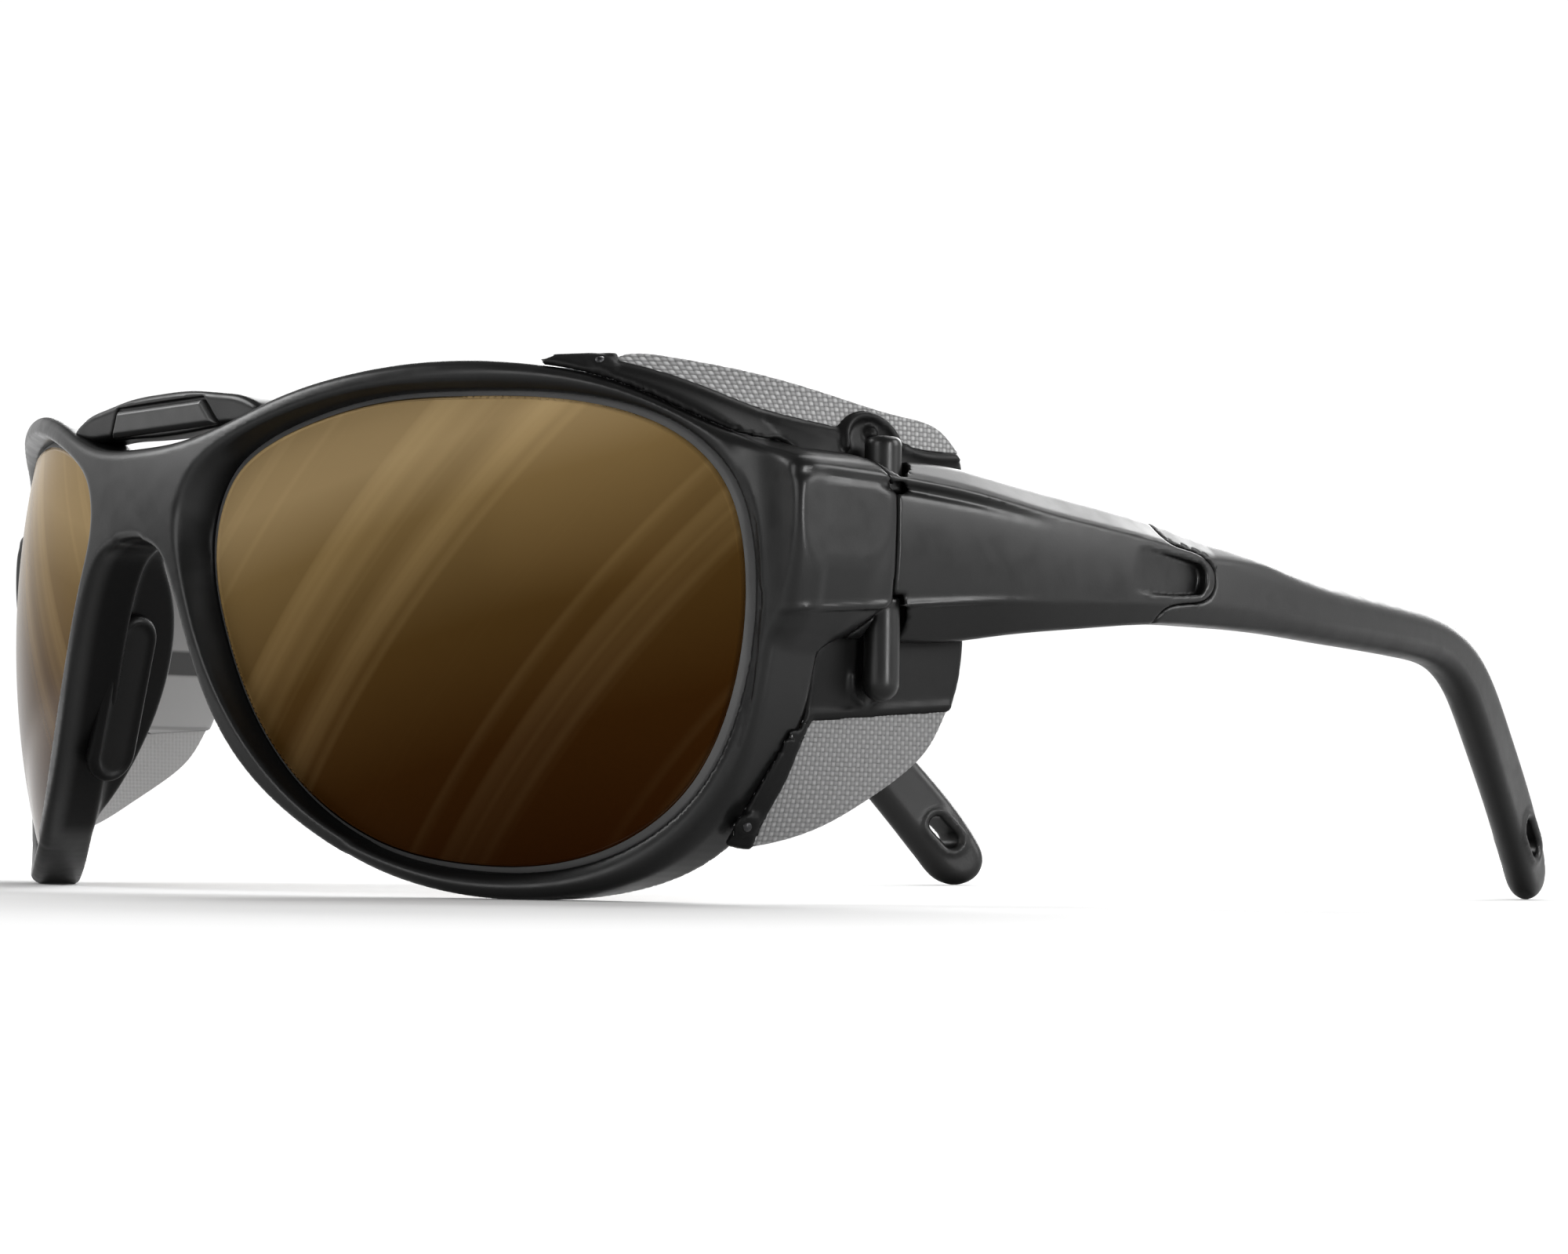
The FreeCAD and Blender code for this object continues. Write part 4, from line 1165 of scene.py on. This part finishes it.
def set_floor(radius=3.0, rings=24, around=96):
    """A plain white disc on the ground, shining with painted light: faintly near the middle and more further
    out.
    """
    verts = [(0.0, 0.0, 0.0)]
    for k in range(1, rings + 1):
        reach = radius * (k / rings) ** 2
        turns = np.arange(around) * 2 * math.pi / around
        verts += [(reach * math.cos(a), reach * math.sin(a), 0.0) for a in turns]
    faces = [(0, 1 + k, 1 + (k + 1) % around) for k in range(around)]
    faces += [tuple(v + 1 for v in f[::-1]) for f in grid_faces(rings, around, wrap=True)]
    mesh = bpy.data.meshes.new("floor")
    mesh.from_pydata(verts, [], faces)
    paper, tree, shader = new_material("paper")
    shader.inputs["Base Color"].default_value = (0.62, 0.62, 0.62, 1)
    shader.inputs["Roughness"].default_value = 0.9
    shader.inputs["Specular IOR Level"].default_value = 0.1
    away = tree.nodes.new("ShaderNodeVectorMath")
    away.operation = "LENGTH"
    tree.links.new(place(tree), away.inputs[0])
    # Painted light: the floor emits more the further it is from the middle.
    painted_glow = ramp(tree, away.outputs["Value"], (0.12, 0.02), (0.36, 0.20), (0.9, 0.85))
    tree.links.new(painted_glow, shader.inputs["Emission Color"])
    shader.inputs["Emission Strength"].default_value = 1.0
    mesh.materials.append(paper)
    floor = bpy.data.objects.new("floor", mesh)
    bpy.context.scene.collection.objects.link(floor)


def add_light(name, at, towards, size, radiance, size_y=None):
    """A soft panel; its power follows from how bright its face is."""
    data = bpy.data.lights.new(name, "AREA")
    size_y = size_y or size
    data.shape = "RECTANGLE"
    data.size = size
    data.size_y = size_y
    data.energy = radiance * math.pi * size * size_y
    lamp = bpy.data.objects.new(name, data)
    lamp.location = at
    lamp.rotation_euler = (Vector(towards) - Vector(at)).to_track_quat("-Z", "Y").to_euler()
    bpy.context.scene.collection.objects.link(lamp)


def set_world(towards=(-0.757, 0.652, 0.0)):
    """A pale room, brightest on one side."""
    world = bpy.data.worlds.new("studio")
    world.use_nodes = True
    tree = world.node_tree
    direction = tree.nodes.new("ShaderNodeTexCoord").outputs["Generated"]
    dot = tree.nodes.new("ShaderNodeVectorMath")
    dot.operation = "DOT_PRODUCT"
    tree.links.new(direction, dot.inputs[0])
    dot.inputs[1].default_value = towards
    facing = maths(tree, "MULTIPLY_ADD", dot.outputs["Value"], 0.5, 0.5)
    colour = ramp(tree, facing, (0.0, 0.10), (0.45, 0.20), (0.72, 0.48), (0.88, 0.65), (0.95, 1.0))
    background = tree.nodes["Background"]
    tree.links.new(colour, background.inputs["Color"])
    background.inputs["Strength"].default_value = 1.06
    bpy.context.scene.world = world


set_floor()
set_world()
add_light("overhead", (-0.05, 0.46, 0.80), (0, 0, 0), 0.40, 8.0)
add_light("back_sweep", (-0.70, 0.90, 0.58), (0, 0, 0.03), 1.2, 9.5, 0.6)
add_light("side_right", (0.72, 0.64, 0.44), (0.05, 0, 0.03), 0.46, 7.0)
add_light("edge_strip", (0.93, -0.05, 0.14), (0.06, -0.03, 0.03), 0.14, 22.0, 0.4)
add_light("front_left", (-0.62, -0.55, 0.52), (0, -0.03, 0.03), 0.42, 7.5)
add_light("front_fill", (0.22, -1.05, 0.34), (0.04, -0.05, 0.03), 0.46, 3.4)
bpy.context.scene.view_settings.view_transform = "Standard"

CAMERA_AZIMUTH, CAMERA_ELEVATION, CAMERA_ROLL = map(math.radians, (49.237, -3.169, 0.722))
TARGET = Vector((27.841, 60.0 - BACK, 28.277)) * MM
DISTANCE = 401.49 * MM
back = Vector(
    (
        math.sin(CAMERA_AZIMUTH) * math.cos(CAMERA_ELEVATION),
        -math.cos(CAMERA_AZIMUTH) * math.cos(CAMERA_ELEVATION),
        math.sin(CAMERA_ELEVATION),
    )
)
camera_data = bpy.data.cameras.new("camera")
camera_data.lens = 87.5
camera_data.sensor_width = 36.0
camera_data.clip_start = 0.01
camera = bpy.data.objects.new("camera", camera_data)
side = Vector((math.cos(CAMERA_AZIMUTH), math.sin(CAMERA_AZIMUTH), 0))
up = back.cross(side)
right = side * math.cos(CAMERA_ROLL) + up * math.sin(CAMERA_ROLL)
upward = up * math.cos(CAMERA_ROLL) - side * math.sin(CAMERA_ROLL)
facing = Matrix((right, upward, back)).transposed().to_4x4()
camera.matrix_world = Matrix.Translation(TARGET + back * DISTANCE) @ facing
bpy.context.scene.collection.objects.link(camera)
bpy.context.scene.camera = camera
